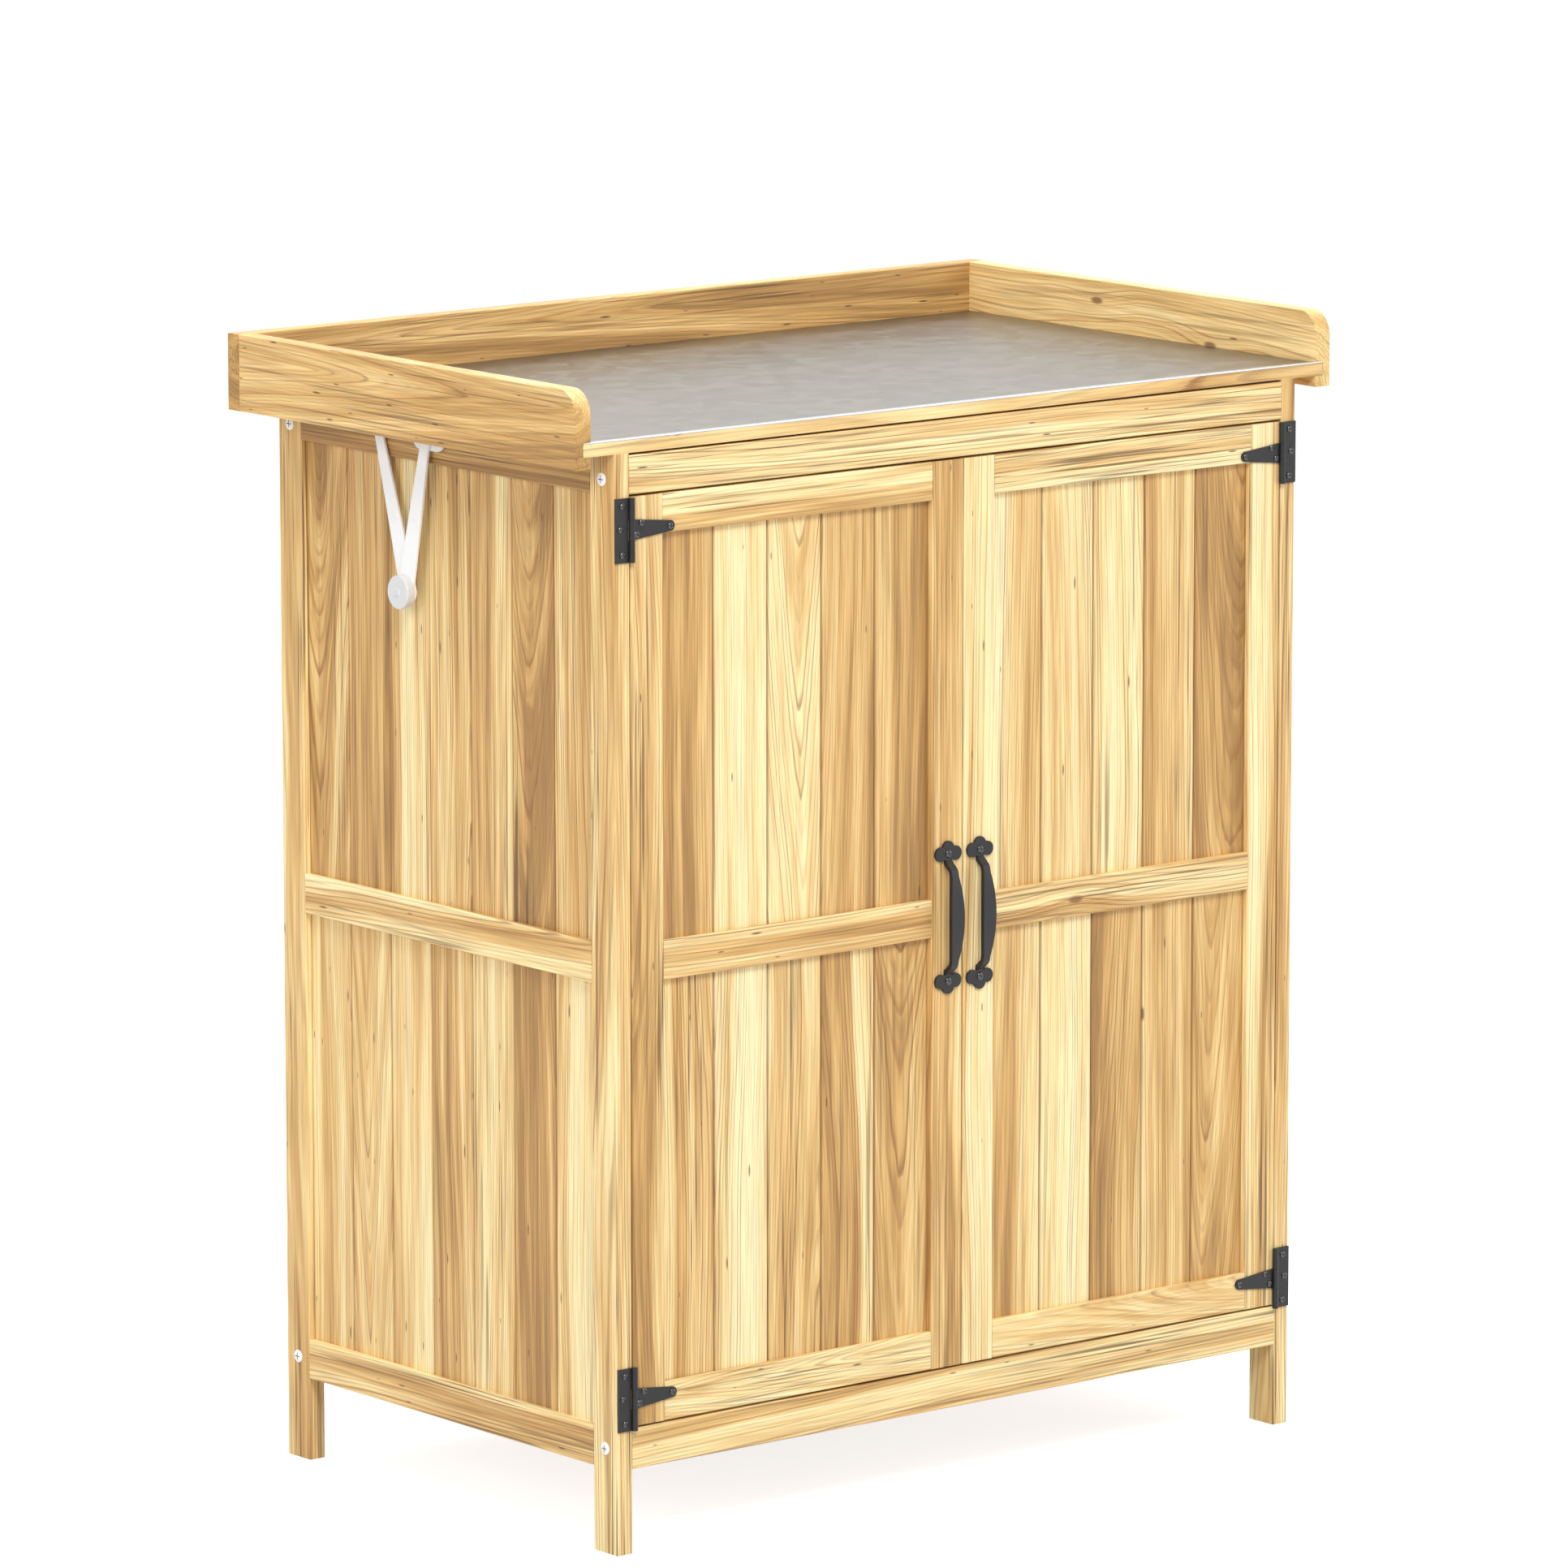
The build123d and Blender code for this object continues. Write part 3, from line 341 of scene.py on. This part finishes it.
# Boards side by side: how many mm the outer ones run into their grooves, less than zero where each board's
# strip of grain is wider than the board, and for each board from the lowest coordinate up, in the lower and
# then the upper row: how tan it is, how many mm off the tree's heart it was sawn, and how strong its streaks
# and its late-wood lines are
boarding = {
    "left_door_boards": {"axes": "XYZ", "lap": 7.0, "seed": 3.0, "boards": [
        [(0.36, 60, 1.0, 0.9), (0.24, -52, 0.5, 1.0), (0.38, 44, 1.0, 1.0), (0.68, -60, 1.0, 0.9),
         (0.54, 1, 0.6, 1.0)],
        [(0.74, -64, 0.6, 0.6), (0.42, 70, 0.2, 0.6), (0.28, 3, 0.1, 0.8), (0.5, -66, 0.2, 0.6),
         (0.68, 50, 0.3, 0.6)]]},
    "right_door_boards": {"axes": "XYZ", "lap": 7.0, "seed": 8.0, "swing": 0.44, "boards": [
        [(0.6, -40, 0.8, 0.8), (0.34, 62, 0.4, 0.8), (0.7, -58, 0.4, 0.8), (0.72, 70, 0.5, 0.7),
         (0.56, -8, 0.3, 0.8)],
        [(0.34, 66, 0.5, 0.9), (0.42, -60, 0.5, 0.9), (0.52, 48, 0.7, 1.0), (0.66, -70, 1.0, 1.0),
         (0.62, 22, 0.7, 0.9)]]},
    # on the left side the upper row gets tanner tones, partly the wood's own and partly painted shade under
    # the lid's overhang
    "left_side_boards": {"axes": "YXZ", "lap": 7.0, "seed": 12.0, "swing": 0.52, "flecks": 0.16, "boards": [
        [(0.42, 60, 0.4, 0.7), (0.62, -64, 0.5, 0.8), (0.54, 56, 0.7, 0.7), (0.5, -70, 0.4, 0.7),
         (0.32, 52, 0.2, 0.6), (0.3, 4, 0.1, 0.8), (0.36, -60, 0.2, 0.7)],
        [(0.58, -54, 0.9, 1.0), (0.62, 5, 1.0, 1.0), (0.66, 64, 1.0, 1.0), (0.44, -60, 0.6, 1.0),
         (0.34, 58, 0.5, 1.0), (0.66, -66, 1.0, 1.0), (0.54, 10, 1.0, 1.0)]]},
    "right_side_boards": {"axes": "YXZ", "lap": 7.0, "seed": 15.0, "boards": [
        [(0.34, -58, 0.2, 0.7), (0.52, 8, 0.3, 0.9), (0.64, 60, 0.6, 0.8), (0.42, -66, 0.2, 0.7),
         (0.34, 54, 0.1, 0.6), (0.6, -60, 0.5, 0.8), (0.46, 12, 0.3, 0.9)],
        [(0.5, 56, 0.4, 0.7), (0.36, -62, 0.2, 0.7), (0.6, 6, 0.5, 0.9), (0.34, 66, 0.1, 0.6),
         (0.48, -50, 0.3, 0.8), (0.64, 60, 0.7, 0.8), (0.38, -10, 0.2, 0.8)]]},
    "back_boards": {"axes": "XYZ", "lap": 7.0, "seed": 21.0, "boards": [
        [(0.42, 60, 0.3, 0.7), (0.6, -56, 0.6, 0.8), (0.34, 8, 0.1, 0.8), (0.52, 64, 0.4, 0.7),
         (0.66, -60, 0.7, 0.8), (0.38, 52, 0.2, 0.6), (0.32, -6, 0.1, 0.8), (0.58, 58, 0.5, 0.8),
         (0.46, -64, 0.3, 0.7), (0.68, 60, 0.8, 0.8), (0.36, 12, 0.2, 0.9), (0.5, -58, 0.4, 0.7)],
        [(0.56, -60, 0.5, 0.7), (0.36, 6, 0.2, 0.9), (0.62, 62, 0.6, 0.8), (0.42, -54, 0.3, 0.7),
         (0.34, 66, 0.1, 0.6), (0.6, -10, 0.5, 0.9), (0.5, 58, 0.4, 0.7), (0.38, -62, 0.2, 0.7),
         (0.64, 56, 0.7, 0.8), (0.44, 4, 0.2, 0.9), (0.58, -66, 0.5, 0.7), (0.34, 60, 0.1, 0.6)]]},
    "floor_boards": {"axes": "YZX", "groove": 0.0, "lap": -1.5, "seed": 31.0, "boards": [
        [(0.4, 60, 0.3, 0.7), (0.55, 10, 0.4, 0.9), (0.36, -58, 0.2, 0.7), (0.6, 52, 0.6, 0.8),
         (0.46, -12, 0.3, 0.9)]]},
    "shelf_boards": {"axes": "YZX", "groove": 0.0, "lap": -1.5, "seed": 34.0, "boards": [
        [(0.5, -52, 0.4, 0.8), (0.38, 60, 0.2, 0.7), (0.6, 8, 0.5, 0.9), (0.44, -60, 0.3, 0.7),
         (0.56, 56, 0.4, 0.8)]]},
    "lid_top_boards": {"axes": "YZX", "groove": 0.0, "lap": -0.15, "seed": 37.0, "boards": [
        [(0.6, 56, 0.4, 0.9), (0.5, 8, 0.4, 0.9), (0.42, -60, 0.3, 0.7), (0.6, 54, 0.5, 0.8),
         (0.46, -10, 0.3, 0.9)]]},
    "lid_battens": {"axes": "XZY", "lap": -207.5, "seed": 41.0, "boards": [
        [(0.45, 40, 0.4, 0.8), (0.55, -36, 0.5, 0.8)]]},
    "shelf_cleats": {"axes": "XZY", "lap": -341.0, "seed": 43.0, "boards": [
        [(0.45, 40, 0.4, 0.8), (0.5, -36, 0.5, 0.8)]]},
}

# Single members: grain along the last axis, how tan the piece is and how far off the heart it was sawn
members = {
    "front_left_leg": {"axes": "XYZ", "tone": 0.5, "heart": -52},
    "front_right_leg": {"axes": "XYZ", "tone": 0.36, "heart": -60},
    "rear_left_leg": {"axes": "XYZ", "tone": 0.52, "heart": 64},
    "rear_right_leg": {"axes": "XYZ", "tone": 0.42, "heart": 48},
    "front_top_rail": {"axes": "ZYX", "tone": 0.42, "heart": 30, "flecks": 0.2},
    "front_bottom_rail": {"axes": "ZYX", "tone": 0.44, "heart": -34, "flecks": 0.3},
    "rear_top_rail": {"axes": "ZYX", "tone": 0.45, "heart": 40},
    "rear_mid_rail": {"axes": "ZYX", "tone": 0.42, "heart": 10},
    "rear_bottom_rail": {"axes": "ZYX", "tone": 0.5, "heart": -44},
    # the left top rail's tone, tanner than the other rails, is partly painted shade under the lid's overhang
    "left_top_rail": {"axes": "ZXY", "tone": 0.74, "heart": 40},
    "left_mid_rail": {"axes": "ZXY", "tone": 0.42, "heart": 26},
    "left_bottom_rail": {"axes": "ZXY", "tone": 0.44, "heart": -40},
    "right_top_rail": {"axes": "ZXY", "tone": 0.5, "heart": 36},
    "right_mid_rail": {"axes": "ZXY", "tone": 0.42, "heart": -30},
    "right_bottom_rail": {"axes": "ZXY", "tone": 0.46, "heart": 44},
    "left_door_hinge_stile": {"axes": "XYZ", "tone": 0.48, "heart": -56},
    "left_door_meeting_stile": {"axes": "XYZ", "tone": 0.66, "heart": 60},
    "left_door_top_rail": {"axes": "ZYX", "tone": 0.5, "heart": 34},
    "left_door_mid_rail": {"axes": "ZYX", "tone": 0.26, "heart": -44},
    "left_door_bottom_rail": {"axes": "ZYX", "tone": 0.46, "heart": 8, "flecks": 0.3},
    "right_door_hinge_stile": {"axes": "XYZ", "tone": 0.5, "heart": 52},
    "right_door_meeting_stile": {"axes": "XYZ", "tone": 0.2, "heart": -66, "streaks": 0.4},
    "right_door_top_rail": {"axes": "ZYX", "tone": 0.46, "heart": -30},
    "right_door_mid_rail": {"axes": "ZYX", "tone": 0.44, "heart": 40},
    "right_door_bottom_rail": {"axes": "ZYX", "tone": 0.5, "heart": 14},
    "lid_left_board": {"axes": "ZXY", "tone": 0.64, "heart": 12, "flecks": 0.5, "lines": 0.8, "knots": 0.5,
                       "swing": 0.36, "streaks": 0.7},
    "lid_right_board": {"axes": "ZXY", "tone": 0.42, "heart": -38, "flecks": 0.35, "lines": 0.7, "knots": 0.4,
                        "swing": 0.35, "streaks": 0.5},
    # the lid's back board gets the deepest tone, partly the wood's own and partly painted shade
    "lid_back_board": {"axes": "ZYX", "tone": 0.84, "heart": 20, "flecks": 0.4, "lines": 0.8, "knots": 0.45,
                       "swing": 0.4},
}
# groove: how strong the painted shade in the grooves between boards is
boardLook = {"coarse": 1.0, "swing": 0.46, "sap": 0.16, "flecks": 0.05, "knots": 0.1, "groove": 0.65}
memberLook = {"coarse": 1.1, "swing": 0.6, "sap": 0.05, "streaks": 0.9, "lines": 0.85, "flecks": 0.14,
              "knots": 0.12, "groove": 0.0}
heartReach = 100.0           # mm, the farthest that a board is sawn from the heart
rowSplit = 498.25            # mm up, through the middle of the mid rails
noSplit = 1e6                # mm, beyond every board
rowSlack = 0.1               # tells the lower row, 0, from the upper one, 1
looseWidth = 400.0           # mm, wider than any single member
firstSeed, seedStep = 60.0, 3.0  # of the single members


def paint(name, material):
    mesh = nodes[name].data
    mesh.materials.clear()
    mesh.materials.append(material)


def boxSide(name, axis):
    low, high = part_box(name)
    place = "XYZ".index(axis)
    return low[place] / mm, high[place] / mm


for name, look in boarding.items():
    low, high = boxSide(name, look["axes"][0])
    front, rear = boxSide(name, look["axes"][1])
    pitch = (high - low - 2 * look["lap"]) / len(look["boards"][0])
    split = rowSplit if len(look["boards"]) == 2 else noSplit
    size = {"first": low + look["lap"], "pitch": pitch, "depth": (front + rear) / 2, "split": split}
    paint(name, firMaterial("fir_" + name, boardLook | look | size))
for count, (name, own) in enumerate(members.items()):
    look = memberLook | own
    low, high = boxSide(name, look["axes"][0])
    front, rear = boxSide(name, look["axes"][1])
    size = {"first": (low + high - looseWidth) / 2, "pitch": looseWidth, "depth": (front + rear) / 2,
            "split": noSplit, "seed": firstSeed + seedStep * count,
            "boards": [[(look["tone"], look["heart"], look["streaks"], look["lines"])]]}
    paint(name, firMaterial("fir_" + name, look | size))
print("fir on", len(boarding) + len(members), "pieces")

# Black powder coat on pressed iron: charcoal satin with a faint orange-peel skin
blackCoat = {"colour": "#242425", "hollow": "#1C1C1D", "roughness": 0.4, "specular": 0.34, "peel": 1.6,
             "relief": 0.00006}
# What all coats share: clouds to the metre, how far they shift the roughness, and the occlusion span of the
# painted shade in recesses
coatSkin = {"clouds": 55.0, "cloudSpan": (0.3, 0.7), "shift": (-0.05, 0.06), "recess": (0.45, 0.85),
            "bump": 0.6}


def powderCoat(name, coat):
    material, tree, shader = startMaterial(name)
    place = addNode(tree, "TexCoord", {}).outputs["Object"]
    peel = addNode(tree, "TexNoise", {"Vector": place, "Scale": metre / coat["peel"], "Detail": 2.0})
    cloud = addNode(tree, "TexNoise", {"Vector": place, "Scale": coatSkin["clouds"], "Detail": 2.0})
    colour = addNode(tree, "Mix", {0: cloud, 6: hexColour(coat["hollow"]), 7: hexColour(coat["colour"])},
                     data_type="RGBA")
    # painted shade: occlusion within the piece darkens its hollows and the rims round raised parts toward the
    # coat's shade colour
    if "recess" in coat:
        low, high = coatSkin["recess"]
        clear = addNode(tree, "AmbientOcclusion", {"Distance": coat["recess"] * mm}, only_local=True,
                        samples=8)
        clear = addNode(tree, "MapRange", {0: clear.outputs["AO"], 1: low, 2: high})
        colour = addNode(tree, "Mix", {0: clear, 6: hexColour(coat["shade"]), 7: colour.outputs[2]},
                         data_type="RGBA")
    tree.links.new(colour.outputs[2], shader.inputs["Base Color"])
    low, high = coatSkin["cloudSpan"]
    smooth, coarse = (coat["roughness"] + shift for shift in coatSkin["shift"])
    rough = addNode(tree, "MapRange", {0: cloud, 1: low, 2: high, 3: smooth, 4: coarse})
    tree.links.new(rough.outputs[0], shader.inputs["Roughness"])
    bump = addNode(tree, "Bump", {"Height": peel, "Strength": coatSkin["bump"], "Distance": coat["relief"]})
    tree.links.new(bump.outputs[0], shader.inputs["Normal"])
    shader.inputs["Specular IOR Level"].default_value = coat["specular"]
    return material


blackIron = powderCoat("black_powder_coat", blackCoat)

# Black oxide on the screw heads: darker and glossier than the coat, so that each dome holds a glint
blackOxide = {"colour": "#0E0E0F", "hollow": "#0A0A0B", "roughness": 0.16, "specular": 1.0, "peel": 2.4,
              "relief": 0.00003}
blackScrew = powderCoat("black_oxide", blackOxide)

# White powder coat on the stay: clean, slightly glossy
whiteCoat = {"colour": "#F6F6F6", "hollow": "#EFEFEF", "roughness": 0.32, "specular": 0.5, "peel": 1.8,
             "relief": 0.00005}
whiteStay = powderCoat("white_powder_coat", whiteCoat)

# Moulded cap on the stay's hub: a greyer white than the coat, with shade round its raised button
whiteCap = whiteCoat | {"colour": "#D6D6D6", "hollow": "#CFCFCF", "recess": 2.2, "shade": "#8E8E8E"}
hubCap = powderCoat("moulded_acetal", whiteCap)

# White lacquer on the screws in the legs, with the driven cross in shade
whiteLacquer = whiteCoat | {"recess": 1.8, "shade": "#211F1D"}
whiteScrew = powderCoat("white_lacquer", whiteLacquer)

# Zinc plate: bright on the hem and the lid's screws, duller on the strikes, slightly cloudy
brightZinc = {"bright": "#CED2D6", "cloud": "#B4B8BD", "roughness": 0.3, "cloudSize": 4.0}
dullZinc = {"bright": "#B4B6B7", "cloud": "#93969A", "roughness": 0.4, "cloudSize": 5.0}
zincShift = (-0.08, 0.1)     # how far clouds shift the roughness


def zincCoat(name, zinc):
    material, tree, shader = startMaterial(name)
    place = addNode(tree, "TexCoord", {}).outputs["Object"]
    cloud = addNode(tree, "TexNoise", {"Vector": place, "Scale": metre / zinc["cloudSize"], "Detail": 3.0})
    colour = addNode(tree, "Mix", {0: cloud, 6: hexColour(zinc["cloud"]), 7: hexColour(zinc["bright"])},
                     data_type="RGBA")
    tree.links.new(colour.outputs[2], shader.inputs["Base Color"])
    smooth, coarse = (zinc["roughness"] + shift for shift in zincShift)
    rough = addNode(tree, "MapRange", {0: cloud, 3: smooth, 4: coarse})
    tree.links.new(rough.outputs[0], shader.inputs["Roughness"])
    shader.inputs["Metallic"].default_value = 1.0
    return material


zincPlate = zincCoat("bright_zinc", brightZinc)
zincStrike = zincCoat("dull_zinc", dullZinc)

# Galvanised sheet: flat grey crystals of zinc with faint rolling lines
sheet = {"pale": "#837F78", "dark": "#7C7871", "spangle": 16.0, "roll": (1.5, 160.0), "roughness": 0.34,
         "shift": (-0.02, 0.03), "bump": 0.4, "relief": 0.00004}
galvanised, sheetTree, sheetShader = startMaterial("galvanised_steel")
sheetPlace = addNode(sheetTree, "TexCoord", {}).outputs["Object"]
crystals = addNode(sheetTree, "TexVoronoi", {"Vector": sheetPlace, "Scale": metre / sheet["spangle"]})
crystal = addNode(sheetTree, "SeparateColor", {0: crystals.outputs["Color"]})
rollWide, rollLong = (metre / size for size in sheet["roll"])
rolling = addNode(sheetTree, "VectorMath", {0: sheetPlace, 1: (rollLong, rollWide, rollWide)},
                  operation="MULTIPLY")
rolling = addNode(sheetTree, "TexNoise", {"Vector": rolling, "Scale": 1.0, "Detail": 2.0})
sheetColour = addNode(sheetTree, "Mix",
                      {0: crystal, 6: hexColour(sheet["dark"]), 7: hexColour(sheet["pale"])},
                      data_type="RGBA")
sheetTree.links.new(sheetColour.outputs[2], sheetShader.inputs["Base Color"])
sheetSmooth, sheetCoarse = (sheet["roughness"] + shift for shift in sheet["shift"])
sheetRough = addNode(sheetTree, "MapRange", {0: crystal, 3: sheetSmooth, 4: sheetCoarse})
sheetTree.links.new(sheetRough.outputs[0], sheetShader.inputs["Roughness"])
sheetBump = addNode(sheetTree, "Bump",
                    {"Height": rolling, "Strength": sheet["bump"], "Distance": sheet["relief"]})
sheetTree.links.new(sheetBump.outputs[0], sheetShader.inputs["Normal"])
sheetShader.inputs["Metallic"].default_value = 1.0

# Moulded ABS of the catch: matt brown with a fine grain
catch = {"colour": "#6B4A30", "hollow": "#5A3C26", "roughness": 0.55, "specular": 0.4, "peel": 0.9,
         "relief": 0.00004}
catchPlastic = powderCoat("moulded_abs", catch)
paint("door_catch", catchPlastic)
paint("lid_steel_sheet", galvanised)
print("coats and metals made")

# Hardware keeps its solid's shape, with the pressed metal's softened edges
hardware = {
    "leg_hinge_plates": {"material": blackIron, "slot": "black_iron", "edge": 0.35, "body": "cabinet"},
    "left_door_hinge_straps": {"material": blackIron, "slot": "black_iron", "edge": 0.35,
                               "body": "left_door"},
    "right_door_hinge_straps": {"material": blackIron, "slot": "black_iron", "edge": 0.35,
                                "body": "right_door"},
    "left_door_pull": {"material": blackIron, "slot": "black_iron", "edge": 0.9, "body": "left_door"},
    "right_door_pull": {"material": blackIron, "slot": "black_iron", "edge": 0.9, "body": "right_door"},
    "left_door_screws": {"material": blackScrew, "slot": "black_iron", "edge": 0.12, "body": "left_door"},
    "right_door_screws": {"material": blackScrew, "slot": "black_iron", "edge": 0.12, "body": "right_door"},
    "hinge_plate_screws": {"material": blackScrew, "slot": "black_iron", "edge": 0.12, "body": "cabinet"},
    "lid_hinge_rail_leaves": {"material": blackIron, "slot": "black_iron", "edge": 0.25, "body": "cabinet"},
    "lid_hinge_board_leaves": {"material": blackIron, "slot": "black_iron", "edge": 0.25, "body": "lid"},
    "hinge_pins": {"material": blackIron, "slot": "black_iron", "edge": 0.2, "body": "cabinet"},
    "leg_screws": {"material": whiteScrew, "slot": "white_screw", "edge": 0.2, "body": "cabinet"},
    "lid_screws": {"material": zincPlate, "slot": "zinc_plate", "edge": 0.12, "body": "lid"},
    "left_strike_plate": {"material": zincStrike, "slot": "zinc_plate", "edge": 0.3, "body": "left_door"},
    "right_strike_plate": {"material": zincStrike, "slot": "zinc_plate", "edge": 0.3, "body": "right_door"},
    "stay_cabinet_arm": {"material": whiteStay, "slot": "white_stay", "edge": 0.5,
                         "body": "stay_cabinet_link"},
    "stay_lid_arm": {"material": whiteStay, "slot": "white_stay", "edge": 0.5, "body": "stay_lid_link"},
    "stay_hub": {"material": hubCap, "slot": "white_stay", "edge": 0.4, "body": "stay_lid_link"},
    "stay_lid_bracket": {"material": whiteStay, "slot": "white_stay", "edge": 0.5, "body": "lid"},
    "stay_pivot_screw": {"material": whiteStay, "slot": "white_stay", "edge": 0.3, "body": "cabinet"},
}
mergeReach = 0.001 * mm         # points closer than this become one
flatAngle = math.radians(0.5)   # faces that turn less become one
sharpAngle = math.radians(32)   # edges that turn more are softened
creaseAngle = math.radians(50)  # edges that still turn more are shaded as creases


def softCopy(name, make):
    mesh = nodes[name].data.copy()
    mesh.materials.clear()
    mesh.materials.append(make["material"])
    work = bmesh.new()
    work.from_mesh(mesh)
    bmesh.ops.remove_doubles(work, verts=work.verts, dist=mergeReach)
    bmesh.ops.dissolve_limit(work, angle_limit=flatAngle, verts=work.verts, edges=work.edges)
    sharp = [e for e in work.edges if len(e.link_faces) == 2 and e.calc_face_angle(0) > sharpAngle]
    bmesh.ops.bevel(work, geom=sharp, offset=make["edge"] * mm, affect="EDGES", segments=2, profile=0.5,
                    clamp_overlap=True, material=-1)
    for face in work.faces:
        face.smooth = True
    work.to_mesh(mesh)
    work.free()
    piece = bpy.data.objects.new(name + "_finished", mesh)
    bpy.context.scene.collection.objects.link(piece)
    mesh.set_sharp_from_angle(angle=creaseAngle)
    flat = piece.modifiers.new("flat faces", "WEIGHTED_NORMAL")
    flat.keep_sharp = True
    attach(piece, make["body"])
    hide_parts(name)


for name, make in hardware.items():
    softCopy(name, make)
print("hardware softened:", len(hardware))

# Hem: the sheet's front edge folded down over the boards, a thin bright line that runs into both housings
hem = {"halfLength": 404.4, "flat": 6.0, "lip": 1.0, "gauge": 0.5, "proud": 0.3, "fold": 0.4}
sheetLow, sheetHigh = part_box("lid_steel_sheet")
hemFront, hemTop = sheetLow[1] - hem["proud"] * mm, sheetHigh[2] + hem["gauge"] * mm
hemProfile = [(hemFront + hem["flat"] * mm, hemTop), (hemFront, hemTop),
              (hemFront, hemTop - hem["lip"] * mm)]
work = bmesh.new()
points = [work.verts.new((-hem["halfLength"] * mm, y, z)) for y, z in hemProfile]
runs = [work.edges.new(pair) for pair in zip(points, points[1:])]
drawn = bmesh.ops.extrude_edge_only(work, edges=runs)["geom"]
farPoints = [v for v in drawn if isinstance(v, bmesh.types.BMVert)]
bmesh.ops.translate(work, verts=farPoints, vec=(2 * hem["halfLength"] * mm, 0, 0))
foldLine = [e for e in work.edges if len(e.link_faces) == 2]
bmesh.ops.bevel(work, geom=foldLine, offset=hem["fold"] * mm, affect="EDGES", segments=3, profile=0.5,
                material=-1)
bmesh.ops.recalc_face_normals(work, faces=work.faces)
bmesh.ops.solidify(work, geom=work.faces[:], thickness=hem["gauge"] * mm)
bmesh.ops.recalc_face_normals(work, faces=work.faces)
hemMesh = bpy.data.meshes.new("steel_front_hem")
work.to_mesh(hemMesh)
work.free()
hemMesh.materials.append(zincPlate)
hemPiece = bpy.data.objects.new("steel_front_hem", hemMesh)
bpy.context.scene.collection.objects.link(hemPiece)
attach(hemPiece, "lid")
print("hem folded")


# Rays that come from the eye, straight or by a mirror
def seenRays(tree):
    ray = addNode(tree, "LightPath", {})
    seen = addNode(tree, "Math", {0: ray.outputs["Is Camera Ray"], 1: ray.outputs["Is Glossy Ray"]},
                   operation="MAXIMUM")
    return addNode(tree, "Math", {0: seen, 1: ray.outputs["Is Transmission Ray"]}, operation="MAXIMUM")


# Pale floor: white to the eye, it keeps the bench's soft shadow
ground = {"half": 40.0, "drop": 0.0005, "colour": "#C9C9C9", "glow": 0.8}
work = bmesh.new()
bmesh.ops.create_grid(work, x_segments=1, y_segments=1, size=ground["half"])
bmesh.ops.translate(work, verts=work.verts, vec=(0, 0, -ground["drop"]))
floorMesh = bpy.data.meshes.new("floor")
work.to_mesh(floorMesh)
work.free()
floor = bpy.data.objects.new("floor", floorMesh)
bpy.context.scene.collection.objects.link(floor)
floorMaterial, floorTree, floorShader = startMaterial("pale_floor")
floorTree.nodes.remove(floorShader)
glow = addNode(floorTree, "Math", {0: seenRays(floorTree), 1: ground["glow"]}, operation="MULTIPLY")
glow = addNode(floorTree, "Emission", {"Color": (1, 1, 1, 1), "Strength": glow})
matt = addNode(floorTree, "BsdfDiffuse", {"Color": hexColour(ground["colour"])})
both = addNode(floorTree, "AddShader", {0: glow, 1: matt})
floorTree.links.new(both.outputs[0], floorTree.nodes["Material Output"].inputs["Surface"])
floorMesh.materials.append(floorMaterial)

# World: white behind the bench, a lower even light on it
sky = {"ambient": 0.36}
world = bpy.data.worlds.new("studio")
bpy.context.scene.world = world
world.use_nodes = True
skyTree = world.node_tree
level = addNode(skyTree, "MapRange", {0: seenRays(skyTree), 3: sky["ambient"], 4: 1.0})
skyTree.links.new(level.outputs[0], skyTree.nodes["Background"].inputs["Strength"])
skyTree.nodes["Background"].inputs["Color"].default_value = (1, 1, 1, 1)

# Soft boxes: a key from the front left, weak ones from both sides and a large one overhead
lamps = {
    "key": {"from": (-2.0, -3.8, 4.4), "size": 1.8, "power": 205},
    "side": {"from": (-4.2, -0.8, 2.2), "size": 2.2, "power": 60},
    "right": {"from": (3.6, -3.0, 2.0), "size": 2.4, "power": 55},
    "overhead": {"from": (0.7, 1.3, 4.2), "size": 5.0, "power": 240},
}
middle = (cadBox[0] + cadBox[1]) / 2
for name, lamp in lamps.items():
    data = bpy.data.lights.new(name, "AREA")
    data.shape = "SQUARE"
    data.size = lamp["size"]
    data.energy = lamp["power"]
    light = bpy.data.objects.new(name, data)
    light.location = lamp["from"]
    light.rotation_euler = (middle - Vector(lamp["from"])).to_track_quat("-Z", "Y").to_euler()
    bpy.context.scene.collection.objects.link(light)
print("studio lit")

# Camera where the photograph was taken from
shot = {"azimuth": -39.055, "elevation": 9.967, "roll": -0.031, "distance": 8.41985,
        "target": (-0.03736, -0.03846, 0.58832), "lens": 225.49, "sensor": 36.0, "farthest": 200.0}
turn, lift = math.radians(shot["azimuth"]), math.radians(shot["elevation"])
back = Vector((math.sin(turn) * math.cos(lift), -math.cos(turn) * math.cos(lift), math.sin(lift)))
cameraData = bpy.data.cameras.new("camera")
cameraData.lens = shot["lens"]
cameraData.sensor_width = shot["sensor"]
cameraData.clip_end = shot["farthest"]
camera = bpy.data.objects.new("camera", cameraData)
camera.location = Vector(shot["target"]) + back * shot["distance"]
camera.rotation_mode = "QUATERNION"
upright = (-back).to_track_quat("-Z", "Y")
camera.rotation_quaternion = upright @ Quaternion((0, 0, 1), math.radians(shot["roll"]))
bpy.context.scene.collection.objects.link(camera)
bpy.context.scene.camera = camera
bpy.context.scene.view_settings.view_transform = "Standard"

bpy.context.view_layer.update()
